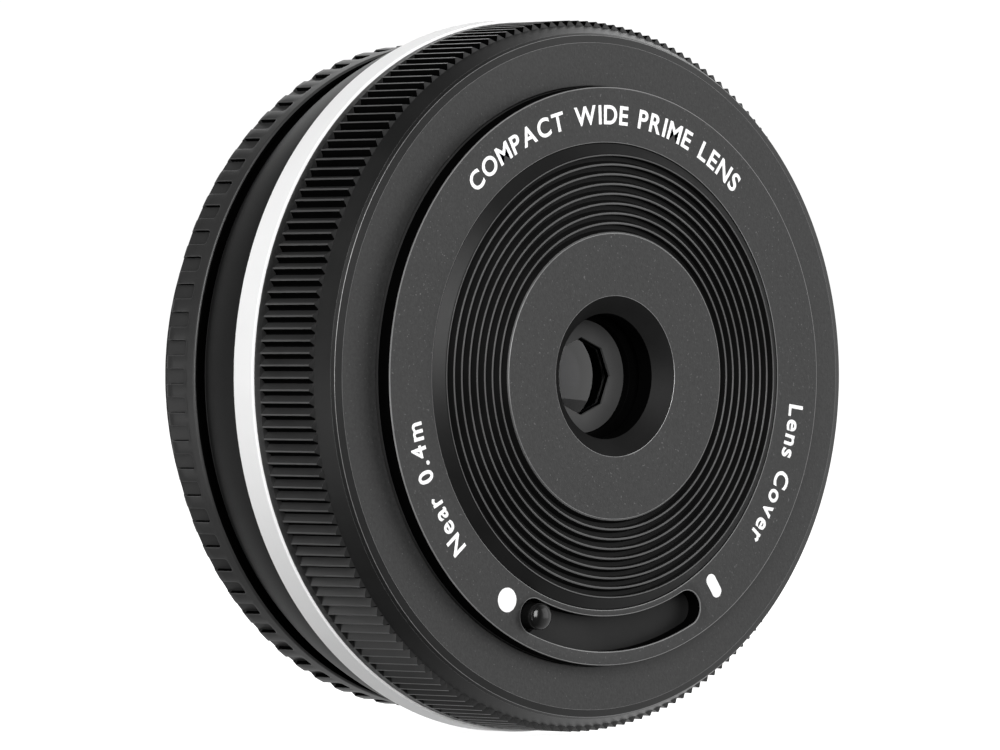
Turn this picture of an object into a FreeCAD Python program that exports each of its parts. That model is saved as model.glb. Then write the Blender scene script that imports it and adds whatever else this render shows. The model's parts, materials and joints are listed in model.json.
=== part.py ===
import FreeCAD
import Part
import Sketcher
import math
import os

# A slim autofocus prime lens with a sliding cover built into its front.
#
# Every sub-part is drawn in one working frame: z is the optical axis and points forward,
# out of the front of the lens, z = 0 is the mount flange, and y is up. A Placement then turns
# each sub-part so that the lens looks along -Y, with +Z up and the flange at the origin.

LENS_POSE = FreeCAD.Placement(FreeCAD.Vector(0, 0, 0), FreeCAD.Rotation(FreeCAD.Vector(1, 0, 0), 90))

# Driving dimensions, in millimetres and degrees. A name that ends in _z is a distance in front
# of the mount flange, and a negative one is behind it.
DIMENSIONS = {
    "front shell and its grip": {
        "shell_front_z": 18.85, "shell_opening": 24.55, "shell_face_radius": 28.23,
        "shell_land_z": 18.64, "shell_land_radius": 28.86, "nose_z": 18.35, "nose_radius": 29.05,
        "nose_curve": 1.2, "band_radius": 29.75, "shell_wall": 1.2, "shell_inner_radius": 28.6,
        "knurl_radius": 30.15, "knurl_front_z": 16.95, "knurl_back_z": 10.65, "knurl_depth": 0.37,
        "knurl_slot": 0.46, "knurl_count": 184, "knurl_edge": 0.1, "shell_back_z": 9.85,
    },
    "trim ring and rear barrel": {
        "trim_radius": 30.35, "trim_edge": 0.1, "barrel_front_z": 7.45, "barrel_inner_radius": 27.4,
        "barrel_front_radius": 30.0, "barrel_back_z": 0.65, "barrel_back_radius": 27.8,
        "barrel_step_z": 0.35, "barrel_step_radius": 27.3, "barrel_curve": 15.0, "barrel_edge": 0.15,
        "barrel_floor_z": 2.5, "barrel_floor_radius": 23.0,
        "flange_radius": 26.4, "flange_thickness": 1.25, "flange_gap": 0.1,
    },
    "bayonet mount": {
        "skirt_radius": 21.6, "skirt_bore": 20.9, "skirt_depth": 4.0, "mount_lug_radius": 22.9,
        "mount_lug_front": 2.4, "mount_lug_back": 3.7, "mount_lug_angle": 46.0,
        "mount_screw_circle": 24.4, "mount_screw_radius": 0.7, "mount_screw_head": 1.35,
        "mount_screw_end_z": 3.6, "mount_screw_clearance": 0.1, "mount_head_height": 0.65,
        "cross_length": 1.6, "cross_width": 0.24, "cross_depth": 0.35, "flange_edge": 0.1,
        "skirt_edge": 0.2, "index_hole_radius": 1.1, "index_hole_angle": 118.0,
    },
    "front plate and disc": {
        "plate_front_z": 20.5, "plate_back_z": 19.05, "plate_radius": 24.45,
        "baffle_radius": 19.75, "ridge_start_radius": 18.7, "ridge_start_z": 21.15,
        "ridge_rise": 0.26, "ridge_count": 8, "groove_depth": 0.5, "disc_radius": 12.1,
        "disc_front_z": 21.47, "disc_seat_z": 20.3, "bore_mouth_radius": 6.8, "bore_radius": 5.3,
        "bore_chamfer_z": 20.2, "disc_back_z": 18.6, "spigot_radius": 7.5, "boss_radius": 13.2,
    },
    "lens cover": {
        "lever_circle": 21.78, "slot_half_width": 1.48, "slot_start": -112.7, "lever_start": -112.5,
        "lever_turn": 47.3, "lever_radius": 1.12, "lever_tip_z": 21.9, "lever_edge": 0.45,
        "ring_inner": 13.6, "ring_outer": 23.85, "ring_front_z": 18.95, "ring_back_z": 18.55,
        "blade_turn": 30.0, "blade_radius": 6.0, "blade_overlap": 0.5, "blade_thickness": 0.15,
        "blade_front_z": 18.45, "blade_step": 0.25, "pivot_circle": 12.3, "pivot_radius": 0.6,
        "pivot_clearance": 0.06, "stud_circle": 17.0, "stud_angle": 35.0, "stud_radius": 0.5,
        "stud_clearance": 0.1, "base_front_z": 17.9, "base_back_z": 16.7, "base_flange_z": 17.6,
        "base_wall_inner": 24.1, "base_radius": 28.3, "stop_seat_radius": 8.6,
        "stop_corner_radius": 3.3, "stop_well_radius": 4.85, "stop_well_outer": 5.9,
        "stop_well_floor_z": 17.2, "stop_back_z": 16.95, "base_bore": 6.2,
        "cover_screw_circle": 26.1,
    },
    "front lens group": {
        "front_flange_radius": 12.0, "front_flange_back_z": 15.9, "front_tube_radius": 7.4,
        "front_tube_back_z": 12.0, "first_bore": 5.95, "first_seat_z": 14.3, "second_bore": 5.35,
        "second_seat_z": 13.7, "front_lip": 4.7, "front_screw_circle": 10.2,
    },
    "focus group and its motor": {
        "focus_front_z": 10.3, "focus_tube_radius": 8.4, "focus_bore": 6.5,
        "focus_seat_z": 5.0, "focus_lip": 5.7, "focus_flange_radius": 13.4,
        "focus_flange_front_z": 5.2, "focus_back_z": 4.4, "rod_circle": 10.4, "rod_radius": 0.6,
        "rod_clearance": 0.06, "sleeve_radius": 1.5, "sleeve_front_z": 8.2, "coil_inner": 12.4,
        "coil_front_z": 9.2, "magnet_inner": 14.0, "magnet_outer": 15.4, "magnet_back_z": 4.8,
        "magnet_front_z": 10.0, "magnet_angle": 80.0, "yoke_front_z": 10.6,
        "actuator_cover_front_z": 11.8, "actuator_cover_bore": 9.0, "actuator_screw_circle": 17.35,
    },
    "chassis, board and rear group": {
        "chassis_radius": 27.2, "chassis_inner": 26.0, "chassis_rim_inner": 25.0,
        "chassis_floor_front_z": 3.9, "chassis_bore": 9.0, "motor_wall_inner": 16.7,
        "motor_wall_outer": 18.0, "motor_wall_front_z": 11.0, "board_inner": 19.0,
        "board_outer": 25.4, "board_thickness": 0.8, "board_screw_circle": 24.2,
        "rear_flange_radius": 14.5, "rear_flange_back_z": 1.7, "rear_tube_radius": 11.6,
        "rear_tube_back_z": -0.3, "rear_bore": 9.65, "rear_seat_z": 2.1, "rear_lip": 8.9,
        "rear_screw_circle": 13.1, "window_width": 22.0, "window_height": 15.6,
        "window_plate_front_z": -0.5, "window_plate_back_z": -1.3, "window_wall_inner": 20.0,
        "window_wall_outer": 20.8, "contact_inner": 17.6, "contact_outer": 20.7,
        "contact_back_z": -3.9, "contact_angle": 66.0, "contact_count": 10, "contact_circle": 19.3,
    },
    "small screws and the flex": {
        "screw_radius": 0.5, "screw_head": 1.0, "screw_height": 0.45, "screw_gap": 0.05,
        "cell_screw_head": 0.9, "cell_screw_reach": 0.7, "cover_screw_sink": 0.5,
        "cover_screw_end_z": 15.4, "fine_screw_radius": 0.4, "fine_screw_head": 0.6,
        "fine_screw_height": 0.35, "actuator_screw_end_z": 9.4, "light_screw_radius": 0.42,
        "light_screw_head": 0.8, "light_screw_height": 0.45, "light_screw_hole": 0.5,
        "thread_gap": 0.03, "board_screw_end_z": 2.7, "rear_screw_reach": 1.2, "rod_socket": 0.5,
        "rod_seat_depth": 1.0, "flex_width": 7.0, "flex_thickness": 0.15, "flex_place": 18.4,
        "flex_slot_width": 7.6, "flex_slot_height": 0.6, "connector_width": 8.4,
        "connector_inner": 21.5, "connector_outer": 23.4, "connector_height": 1.0,
    },
    "rear cap": {
        "cap_gap": 0.1, "cap_groove_inner": 26.6, "cap_groove_floor": 0.85, "cap_lip_inner": 28.1,
        "cap_lip_front": 0.2, "cap_rib_radius": 28.56, "cap_rib_front": 1.0,
        "cap_rib_back": 3.8, "cap_notch_depth": 0.32, "cap_notch_width": 1.45, "cap_rib_count": 74,
        "cap_boss_radius": 25.0, "cap_boss_edge": 7.9, "cap_back_radius": 23.0, "cap_back": 10.2,
        "cap_mouth": 23.4, "cap_cavity_back": 8.6, "cap_cavity_radius": 22.0,
        "cap_lug_inner": 22.05, "cap_lug_front": 0.45, "cap_lug_back": 1.95, "cap_lug_angle": 38.0,
        "cap_recess_radius": 17.0, "cap_recess_depth": 0.5,
    },
}

# Cylindrical edge, front and rear edge planes, clear radius, and how far the front and rear
# surfaces bulge out (or, when negative, sink in) beyond those planes.
ELEMENTS = {
    "first_element": (5.9, 16.25, 14.3, 5.1, 0.75, -1.4),
    "second_element": (5.3, 13.7, 12.9, 4.6, 0.9, 0.4),
    "third_element": (6.45, 9.7, 8.7, 5.7, 0.55, 0.2),
    "fourth_element": (6.45, 8.3, 6.8, 5.7, -0.5, -0.45),
    "fifth_element": (6.45, 6.4, 5.0, 5.7, -0.4, 0.45),
    "rear_element": (9.6, 2.1, 0.9, 8.9, -0.6, 0.7),
}

doc = FreeCAD.newDocument("prime_lens")
sheet = doc.addObject("Spreadsheet::Sheet", "Dimensions")
sub_parts = []


class Size:
    """A dimension with its value and the sheet expression that gives it."""

    def __init__(self, value, text):
        self.value = value
        self.text = text

    def __add__(self, other):
        return combine(self, "+", other, self.value + size(other).value)

    def __sub__(self, other):
        return combine(self, "-", other, self.value - size(other).value)

    def __mul__(self, other):
        return combine(self, "*", other, self.value * size(other).value)

    def __truediv__(self, other):
        return combine(self, "/", other, self.value / size(other).value)

    def __neg__(self):
        return Size(-self.value, f"(0 - {self.text})")


def size(number):
    """A plain number as a Size; a Size stays as it is."""
    if isinstance(number, Size):
        return number
    return Size(number, repr(number))


def combine(first, sign, second, value):
    return Size(value, f"({first.text} {sign} {size(second).text})")


class Table:
    """Every dimension of the sheet, read by its name."""


def fill_sheet():
    """Writes the dimensions to the sheet and returns them as a table of Sizes."""
    table = Table()
    groups = dict(DIMENSIONS)
    keys = ("radius", "front_z", "back_z", "clear", "front_bulge", "rear_bulge")
    for name, numbers in ELEMENTS.items():
        groups[name] = {f"{name}_{key}": number for key, number in zip(keys, numbers)}
    row = 1
    for title, cells in groups.items():
        sheet.set(f"A{row}", title)
        row += 1
        for alias, number in cells.items():
            sheet.set(f"A{row}", alias)
            sheet.set(f"B{row}", str(number))
            sheet.setAlias(f"B{row}", alias)
            setattr(table, alias, Size(number, f"Dimensions.{alias}"))
            row += 1
    doc.recompute()
    return table


def bind(thing, path, number):
    """Ties one property of an object to the sheet."""
    thing.setExpression(path, size(number).text)


# ---------------------------------------------------------------------------------------
# Sketches


def new_sketch(body, plane, name, height=0):
    """A sketch on one of the body's own origin planes, raised by height along its normal."""
    sketch = body.newObject("Sketcher::SketchObject", name)
    origin_plane = next(item for item in body.Origin.OriginFeatures if item.Role == plane)
    sketch.AttachmentSupport = [(origin_plane, "")]
    sketch.MapMode = "FlatFace"
    sketch.AttachmentOffset = FreeCAD.Placement(FreeCAD.Vector(0, 0, size(height).value), FreeCAD.Rotation())
    bind(sketch, "AttachmentOffset.Base.z", height)
    return sketch


def dimension(sketch, constraint, number):
    index = sketch.addConstraint(constraint)
    bind(sketch, f"Constraints[{index}]", number)


def place_point(sketch, edge, end, x, y):
    """Fixes one end of an edge at x, y by dimensions from the origin."""
    for kind, axis, number in (("DistanceX", -2, x), ("DistanceY", -1, y)):
        if size(number).value == 0:
            sketch.addConstraint(Sketcher.Constraint("PointOnObject", edge, end, axis))
        else:
            value = size(number).value
            dimension(sketch, Sketcher.Constraint(kind, -1, 1, edge, end, value), number)


def circle(sketch, x, y, radius):
    centre = FreeCAD.Vector(size(x).value, size(y).value, 0)
    edge = sketch.addGeometry(Part.Circle(centre, FreeCAD.Vector(0, 0, 1), size(radius).value))
    place_point(sketch, edge, 3, x, y)
    dimension(sketch, Sketcher.Constraint("Radius", edge, size(radius).value), radius)


def arc_about(centre, start, end, outer):
    """The arc from start to end about centre, through the side that outer is on.

    Returns the arc and which of its ends, 1 or 2, lies at start.
    """
    radius = (start - centre).Length
    full = Part.Circle(centre, FreeCAD.Vector(0, 0, 1), radius)
    angles = [math.atan2(point.y - centre.y, point.x - centre.x) for point in (start, end)]
    for first, second, start_end in ((angles[0], angles[1], 1), (angles[1], angles[0], 2)):
        span = (second - first) % (2 * math.pi)
        middle = first + span / 2
        middle_point = centre + FreeCAD.Vector(math.cos(middle), math.sin(middle), 0) * radius
        if (middle_point - outer).Length < radius:
            return Part.ArcOfCircle(full, first, first + span), start_end
    raise ValueError("no such arc")


def dome_centre(start, end):
    """The point on the optical axis as far from start as from end."""
    height = (end.x ** 2 + end.y ** 2 - start.x ** 2 - start.y ** 2) / (2 * (end.y - start.y))
    return FreeCAD.Vector(0, height, 0)


def outline(sketch, points):
    """A closed outline through points, each (x, y) or (x, y, edge kind).

    The kind says how the edge to the next point runs: nothing for a straight one, "dome" for an
    arc centred on the vertical axis, or a radius for an arc that bulges away from that axis.
    """
    corners = [FreeCAD.Vector(size(point[0]).value, size(point[1]).value, 0) for point in points]
    ends = []
    for index, point in enumerate(points):
        start = corners[index]
        end = corners[(index + 1) % len(points)]
        kind = point[2] if len(point) > 2 else None
        if kind is None:
            edge = sketch.addGeometry(Part.LineSegment(start, end))
            ends.append((edge, 1, 2))
            continue
        middle = (start + end) * 0.5
        if kind == "dome":
            centre = dome_centre(start, end)
        else:
            across = FreeCAD.Vector(start.y - end.y, end.x - start.x, 0).normalize()
            if across.x > 0:
                across = -across
            reach = math.sqrt(size(kind).value ** 2 - (end - start).Length ** 2 / 4)
            centre = middle + across * reach
        arc, at_start = arc_about(centre, start, end, middle)
        edge = sketch.addGeometry(arc)
        ends.append((edge, at_start, 3 - at_start))
        if kind == "dome":
            sketch.addConstraint(Sketcher.Constraint("PointOnObject", edge, 3, -2))
        else:
            dimension(sketch, Sketcher.Constraint("Radius", edge, size(kind).value), kind)
    for index, point in enumerate(points):
        edge, at_start, _ = ends[index]
        previous, _, at_end = ends[index - 1]
        sketch.addConstraint(Sketcher.Constraint("Coincident", previous, at_end, edge, at_start))
        place_point(sketch, edge, at_start, point[0], point[1])


def rectangle(sketch, left, right, bottom, top):
    outline(sketch, [(left, bottom), (right, bottom), (right, top), (left, top)])


# ---------------------------------------------------------------------------------------
# Solids


def new_body(label):
    body = doc.addObject("PartDesign::Body", label)
    sub_parts.append(body)
    return body


def revolve(body, points):
    """Turns an outline of (radius, z) points about the optical axis."""
    sketch = new_sketch(body, "XZ_Plane", body.Label + "_outline")
    outline(sketch, points)
    turned_solid = body.newObject("PartDesign::Revolution", body.Label + "_turned")
    turned_solid.Profile = sketch
    turned_solid.ReferenceAxis = (sketch, ["V_Axis"])
    turned_solid.Angle = 360
    sketch.Visibility = False
    doc.recompute()
    return turned_solid


def turned(label, points):
    body = new_body(label)
    revolve(body, points)
    return body


def ring(label, inner, outer, back, front):
    """A plain ring with a rectangular section."""
    return turned(label, [(inner, back), (outer, back), (outer, front), (inner, front)])


def pad(body, name, back, front, draw):
    """Adds what draw puts in a sketch, from back to front."""
    sketch = new_sketch(body, "XY_Plane", name + "_sketch", back)
    draw(sketch)
    feature = body.newObject("PartDesign::Pad", name)
    feature.Profile = sketch
    feature.Length = (size(front) - back).value
    bind(feature, "Length", size(front) - back)
    sketch.Visibility = False
    doc.recompute()
    return feature


def pocket(body, name, back, front, draw):
    """Cuts what draw puts in a sketch, from front down to back, and checks that it cut."""
    before = body.Shape.Volume
    sketch = new_sketch(body, "XY_Plane", name + "_sketch", front)
    draw(sketch)
    feature = body.newObject("PartDesign::Pocket", name)
    feature.Profile = sketch
    feature.Length = (size(front) - back).value
    bind(feature, "Length", size(front) - back)
    sketch.Visibility = False
    doc.recompute()
    if not feature.Shape.Volume < before:
        raise RuntimeError(f"{name} cuts nothing")
    return feature


def around(body, feature, count):
    """Repeats a feature evenly round the optical axis."""
    pattern = body.newObject("PartDesign::PolarPattern", feature.Name + "_pattern")
    pattern.Originals = [feature]
    pattern.Axis = (feature.Profile[0], ["N_Axis"])
    pattern.Angle = 360
    pattern.Occurrences = count
    body.Tip = pattern
    doc.recompute()
    return pattern


def drill(body, name, radius, x, y, back, front, count=1):
    """A round hole at x, y, or count of them round the axis."""
    hole = pocket(body, name, back, front, lambda sketch: circle(sketch, x, y, radius))
    if count > 1:
        around(body, hole, count)


def keep(thing, label):
    """Lists a finished object of another kind as a sub-part."""
    thing.Label = label
    sub_parts.append(thing)
    doc.recompute()
    return thing


def made(label, shape):
    """A sub-part whose shape is worked out in code from the sheet's values."""
    thing = doc.addObject("Part::Feature", label)
    thing.Shape = Part.makeCompound(shape.Solids)
    return keep(thing, label)


def at_angle(shape, degrees):
    return shape.rotated(FreeCAD.Vector(0, 0, 0), FreeCAD.Vector(0, 0, 1), degrees)


def spread(shape, count, first=0.0):
    """Copies of a shape at even angles round the axis, as one compound."""
    return Part.makeCompound([at_angle(shape, first + 360 * index / count) for index in range(count)])


def sector(inner, outer, back, front, angle):
    """A piece of a ring that spans angle, centred on +X."""
    height = front - back
    base = FreeCAD.Vector(0, 0, back)
    up = FreeCAD.Vector(0, 0, 1)
    whole = Part.makeCylinder(outer, height, base, up, angle)
    return at_angle(whole.cut(Part.makeCylinder(inner, height, base, up)), -angle / 2)


def polar(radius, degrees):
    turn = math.radians(degrees)
    return FreeCAD.Vector(radius * math.cos(turn), radius * math.sin(turn), 0)


def pin(radius, x, y, back, front):
    return Part.makeCylinder(radius, front - back, FreeCAD.Vector(x, y, back))


def screw(*sizes):
    """A pan-head screw off the axis: its shaft goes from seat_z to end_z, its head the other way.

    The sizes are the circle's radius, the shaft's radius, the head's radius and height, end_z
    and seat_z.
    """
    circle_radius, shaft, head, head_height, end_z, seat_z = [size(number).value for number in sizes]
    body = pin(shaft, circle_radius, 0, end_z, seat_z)
    cap = pin(head, circle_radius, 0, seat_z, seat_z + head_height)
    return body.fuse(cap).removeSplitter()


def box(x_low, x_high, y_low, y_high, z_low, z_high):
    corner = FreeCAD.Vector(x_low, y_low, z_low)
    return Part.makeBox(x_high - x_low, y_high - y_low, z_high - z_low, corner)


# ---------------------------------------------------------------------------------------
# Outer shells


def make_front_shell(d):
    blank = new_body("front_shell_blank")
    sub_parts.remove(blank)
    revolve(blank, [
        (d.shell_opening, d.shell_front_z),
        (d.shell_face_radius, d.shell_front_z),
        (d.shell_land_radius, d.shell_land_z, d.nose_curve),
        (d.nose_radius, d.nose_z),
        (d.band_radius, d.knurl_front_z),
        (d.knurl_radius, d.knurl_front_z - d.knurl_edge),
        (d.knurl_radius, d.shell_back_z),
        (d.shell_inner_radius, d.shell_back_z),
        (d.shell_inner_radius, d.shell_front_z - d.shell_wall),
        (d.shell_opening, d.shell_front_z - d.shell_wall),
    ])
    floor_radius = d.knurl_radius.value - d.knurl_depth.value
    half = d.knurl_slot.value / 2
    slot = box(floor_radius, floor_radius + 1, -half, half, d.knurl_back_z.value, d.knurl_front_z.value)
    slots = doc.addObject("Part::Feature", "knurl_slots")
    slots.Shape = spread(slot, int(d.knurl_count.value))
    shell = doc.addObject("Part::Cut", "front_shell")
    shell.Base = blank
    shell.Tool = slots
    keep(shell, "front_shell")


def make_trim_ring(d):
    edge = d.trim_edge
    turned("trim_ring", [
        (d.barrel_inner_radius, d.barrel_front_z),
        (d.trim_radius - edge, d.barrel_front_z),
        (d.trim_radius, d.barrel_front_z + edge),
        (d.trim_radius, d.shell_back_z - edge),
        (d.trim_radius - edge, d.shell_back_z),
        (d.barrel_inner_radius, d.shell_back_z),
    ])


def make_rear_barrel(d):
    rim = d.flange_radius + d.flange_gap
    body = turned("rear_barrel", [
        (d.barrel_inner_radius, d.barrel_front_z),
        (d.barrel_front_radius, d.barrel_front_z, d.barrel_curve),
        (d.barrel_back_radius, d.barrel_back_z + d.barrel_edge),
        (d.barrel_back_radius - d.barrel_edge, d.barrel_back_z),
        (d.barrel_step_radius, d.barrel_back_z),
        (d.barrel_step_radius, d.barrel_step_z),
        (rim, d.barrel_step_z),
        (rim, d.flange_thickness),
        (d.barrel_floor_radius, d.flange_thickness),
        (d.barrel_floor_radius, d.barrel_floor_z),
        (d.barrel_inner_radius, d.barrel_floor_z),
    ])
    drill(body, "barrel_screw_hole", d.mount_screw_radius + d.mount_screw_clearance,
          d.mount_screw_circle, 0, d.flange_thickness, d.barrel_floor_z, 4)


# ---------------------------------------------------------------------------------------
# Bayonet mount and the parts inside its skirt


def make_bayonet_mount(d):
    blank = new_body("bayonet_blank")
    sub_parts.remove(blank)
    revolve(blank, [
        (d.skirt_bore, d.flange_thickness),
        (d.flange_radius, d.flange_thickness),
        (d.flange_radius, d.flange_edge),
        (d.flange_radius - d.flange_edge, 0),
        (d.skirt_radius, 0),
        (d.skirt_radius, -d.skirt_depth + d.skirt_edge),
        (d.skirt_radius - d.skirt_edge, -d.skirt_depth),
        (d.skirt_bore, -d.skirt_depth),
    ])
    drill(blank, "mount_screw_hole", d.mount_screw_radius + d.mount_screw_clearance,
          d.mount_screw_circle, 0, 0, d.flange_thickness, 4)
    angle = math.radians(d.index_hole_angle.value)
    drill(blank, "index_hole", d.index_hole_radius, d.mount_screw_circle * math.cos(angle),
          d.mount_screw_circle * math.sin(angle), 0, d.flange_thickness)
    lug = sector(d.skirt_radius.value - 0.1, d.mount_lug_radius.value, -d.mount_lug_back.value,
                 -d.mount_lug_front.value, d.mount_lug_angle.value)
    lugs = doc.addObject("Part::Feature", "mount_lugs")
    lugs.Shape = spread(lug, 3, 90)
    fused = doc.addObject("Part::MultiFuse", "bayonet_fused")
    fused.Shapes = [blank, lugs]
    sinks = doc.addObject("Part::Feature", "mount_screw_sinks")
    gap = d.mount_screw_clearance.value
    head = Part.makeCone(d.mount_screw_head.value + gap, d.mount_screw_radius.value + gap,
                         d.mount_head_height.value + gap, FreeCAD.Vector(d.mount_screw_circle.value, 0, 0))
    sinks.Shape = spread(head, 4)
    mount = doc.addObject("Part::Cut", "bayonet_mount")
    mount.Base = fused
    mount.Tool = sinks
    keep(mount, "bayonet_mount")


def make_mount_screws(d):
    reach = d.mount_screw_circle.value
    sunk = d.mount_screw_clearance.value / 2
    neck = sunk + d.mount_head_height.value
    head = Part.makeCone(d.mount_screw_head.value, d.mount_screw_radius.value, d.mount_head_height.value,
                         FreeCAD.Vector(reach, 0, sunk))
    shaft = pin(d.mount_screw_radius.value, reach, 0, neck, d.mount_screw_end_z.value)
    long = d.cross_length.value / 2
    wide = d.cross_width.value / 2
    floor = sunk + d.cross_depth.value
    cross = box(reach - long, reach + long, -wide, wide, sunk, floor)
    cross = cross.fuse(box(reach - wide, reach + wide, -long, long, sunk, floor))
    made("mount_screws", spread(head.fuse(shaft).removeSplitter().cut(cross), 4))


def draw_flex_slot(sketch, d):
    """The slot that the flex runs through on its way to the contacts."""
    wide = d.flex_slot_width / 2
    middle = -d.flex_place
    reach = d.flex_slot_height / 2
    rectangle(sketch, -wide, wide, middle - reach, middle + reach)


def make_rear_baffle(d):
    body = turned("rear_baffle", [
        (d.window_wall_inner, d.barrel_floor_z),
        (d.window_wall_outer, d.barrel_floor_z),
        (d.window_wall_outer, d.window_plate_back_z),
        (0, d.window_plate_back_z),
        (0, d.window_plate_front_z),
        (d.window_wall_inner, d.window_plate_front_z),
    ])
    pocket(body, "image_window", d.window_plate_back_z, d.window_plate_front_z,
           lambda sketch: rectangle(sketch, -d.window_width / 2, d.window_width / 2,
                                    -d.window_height / 2, d.window_height / 2))
    pocket(body, "flex_slot", d.window_plate_back_z, d.window_plate_front_z,
           lambda sketch: draw_flex_slot(sketch, d))


def make_contacts(d):
    block = sector(d.contact_inner.value, d.contact_outer.value, d.contact_back_z.value,
                   d.window_plate_back_z.value, d.contact_angle.value)
    made("contact_block", at_angle(block, -90))
    pins = []
    step = (d.contact_angle.value - 12) / (d.contact_count.value - 1)
    for index in range(int(d.contact_count.value)):
        place = polar(d.contact_circle.value, -90 + step * (index - (d.contact_count.value - 1) / 2))
        back = d.contact_back_z.value
        pins.append(pin(0.55, place.x, place.y, back - 0.15, back))
    made("contact_pins", Part.makeCompound(pins))


# ---------------------------------------------------------------------------------------
# Front plate, ridged baffle and centre disc


def draw_lever_slot(sketch, d):
    """The curved slot that the lever pin runs in: two arcs and two round ends."""
    middle = FreeCAD.Vector(0, 0, 0)
    normal = FreeCAD.Vector(0, 0, 1)
    start = math.radians(d.slot_start.value)
    finish = start + math.radians(d.lever_turn.value + 0.4)
    half = d.slot_half_width
    radii = (d.lever_circle - half, d.lever_circle + half)
    inner, outer = [sketch.addGeometry(Part.ArcOfCircle(Part.Circle(middle, normal, radius.value),
                                                        start, finish)) for radius in radii]
    for edge, radius in ((inner, radii[0]), (outer, radii[1])):
        sketch.addConstraint(Sketcher.Constraint("Coincident", edge, 3, -1, 1))
        dimension(sketch, Sketcher.Constraint("Radius", edge, radius.value), radius)
    for turn, end, first, second in ((start, 1, inner, outer), (finish, 2, outer, inner)):
        centre = polar(d.lever_circle.value, math.degrees(turn))
        low = turn + math.pi if first == inner else turn
        cap = Part.ArcOfCircle(Part.Circle(centre, normal, half.value), low, low + math.pi)
        edge = sketch.addGeometry(cap)
        sketch.addConstraint(Sketcher.Constraint("Tangent", edge, 1, first, end))
        sketch.addConstraint(Sketcher.Constraint("Tangent", edge, 2, second, end))
        reach = d.lever_circle * math.cos(turn)
        dimension(sketch, Sketcher.Constraint("DistanceX", -1, 1, edge, 3, reach.value), reach)


def make_name_plate(d):
    body = turned("name_plate", [
        (d.baffle_radius, d.plate_back_z),
        (d.plate_radius, d.plate_back_z),
        (d.plate_radius, d.plate_front_z - 0.12),
        (d.plate_radius - 0.12, d.plate_front_z),
        (d.baffle_radius, d.plate_front_z),
    ])
    pocket(body, "lever_slot", d.plate_back_z, d.plate_front_z, lambda sketch: draw_lever_slot(sketch, d))


def make_ribbed_baffle(d):
    """Fine ridges that climb towards the disc, with a V groove between each two."""
    count = int(d.ridge_count.value)
    pitch = (d.ridge_start_radius - d.disc_radius) / count
    rise = d.ridge_rise / count
    points = [(d.baffle_radius, d.plate_front_z), (d.ridge_start_radius, d.ridge_start_z)]
    for index in range(1, count):
        crest_radius = d.ridge_start_radius - pitch * index
        crest_z = d.ridge_start_z + rise * index
        points.append((crest_radius + pitch / 2, crest_z - d.groove_depth))
        points.append((crest_radius, crest_z))
    points += [
        (d.disc_radius + pitch / 2, d.disc_front_z - d.groove_depth),
        (d.disc_radius, d.disc_front_z - d.groove_depth),
        (d.disc_radius, d.disc_seat_z),
        (d.spigot_radius, d.disc_seat_z),
        (d.spigot_radius, d.disc_back_z),
        (d.boss_radius, d.disc_back_z),
        (d.boss_radius, d.plate_back_z),
        (d.baffle_radius, d.plate_back_z),
    ]
    turned("ribbed_baffle", points)


def make_centre_disc(d):
    turned("centre_disc", [
        (d.bore_mouth_radius, d.disc_front_z),
        (d.disc_radius - 0.1, d.disc_front_z),
        (d.disc_radius, d.disc_front_z - 0.1),
        (d.disc_radius, d.disc_seat_z),
        (d.spigot_radius, d.disc_seat_z),
        (d.spigot_radius, d.disc_back_z),
        (d.bore_radius, d.disc_back_z),
        (d.bore_radius, d.bore_chamfer_z),
    ])


# ---------------------------------------------------------------------------------------
# Sliding lens cover


def make_cover_base(d):
    body = turned("cover_base", [
        (d.base_bore, d.base_back_z),
        (d.base_bore, d.base_flange_z),
        (d.stop_seat_radius, d.base_flange_z),
        (d.stop_seat_radius, d.base_front_z),
        (d.base_wall_inner, d.base_front_z),
        (d.base_wall_inner, d.plate_back_z),
        (d.plate_radius, d.plate_back_z),
        (d.plate_radius, d.base_flange_z),
        (d.base_radius, d.base_flange_z),
        (d.base_radius, d.base_back_z),
    ])
    seat = d.base_flange_z - d.cover_screw_sink
    drill(body, "cover_screw_head", d.screw_head + d.screw_gap, d.cover_screw_circle, 0,
          seat, d.base_flange_z, 4)
    drill(body, "cover_screw_hole", d.screw_radius + d.screw_gap, d.cover_screw_circle, 0,
          d.base_back_z, d.base_flange_z, 4)
    drill(body, "cell_screw_hole", d.screw_radius, d.front_screw_circle, 0,
          d.base_back_z, d.base_back_z + d.cell_screw_reach, 3)


def make_cover_screws(d):
    cover_screw = screw(d.cover_screw_circle, d.screw_radius, d.screw_head, d.screw_height,
                        d.cover_screw_end_z, d.base_flange_z - d.cover_screw_sink)
    made("cover_screws", spread(cover_screw, 4))


def make_stop_plate(d):
    """The fixed aperture: an eight-sided hole, a corner at the top, in the floor of a shallow well."""
    well = d.stop_well_radius.value
    plate = pin(d.stop_seat_radius.value - 0.05, 0, 0, d.base_flange_z.value, d.base_front_z.value)
    plate = plate.fuse(pin(d.stop_well_outer.value, 0, 0, d.stop_back_z.value, d.base_flange_z.value))
    plate = plate.removeSplitter().cut(pin(well, 0, 0, d.stop_well_floor_z.value, d.base_front_z.value))
    floor = FreeCAD.Vector(0, 0, d.stop_back_z.value)
    corners = [polar(d.stop_corner_radius.value, 45 * index) + floor for index in range(8)]
    hole = Part.Face(Part.makePolygon(corners + corners[:1])).extrude(FreeCAD.Vector(0, 0, 1))
    made("stop_plate", plate.cut(hole))


def blade_pivot(d):
    return FreeCAD.Vector(d.pivot_circle.value, 0, 0)


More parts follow.
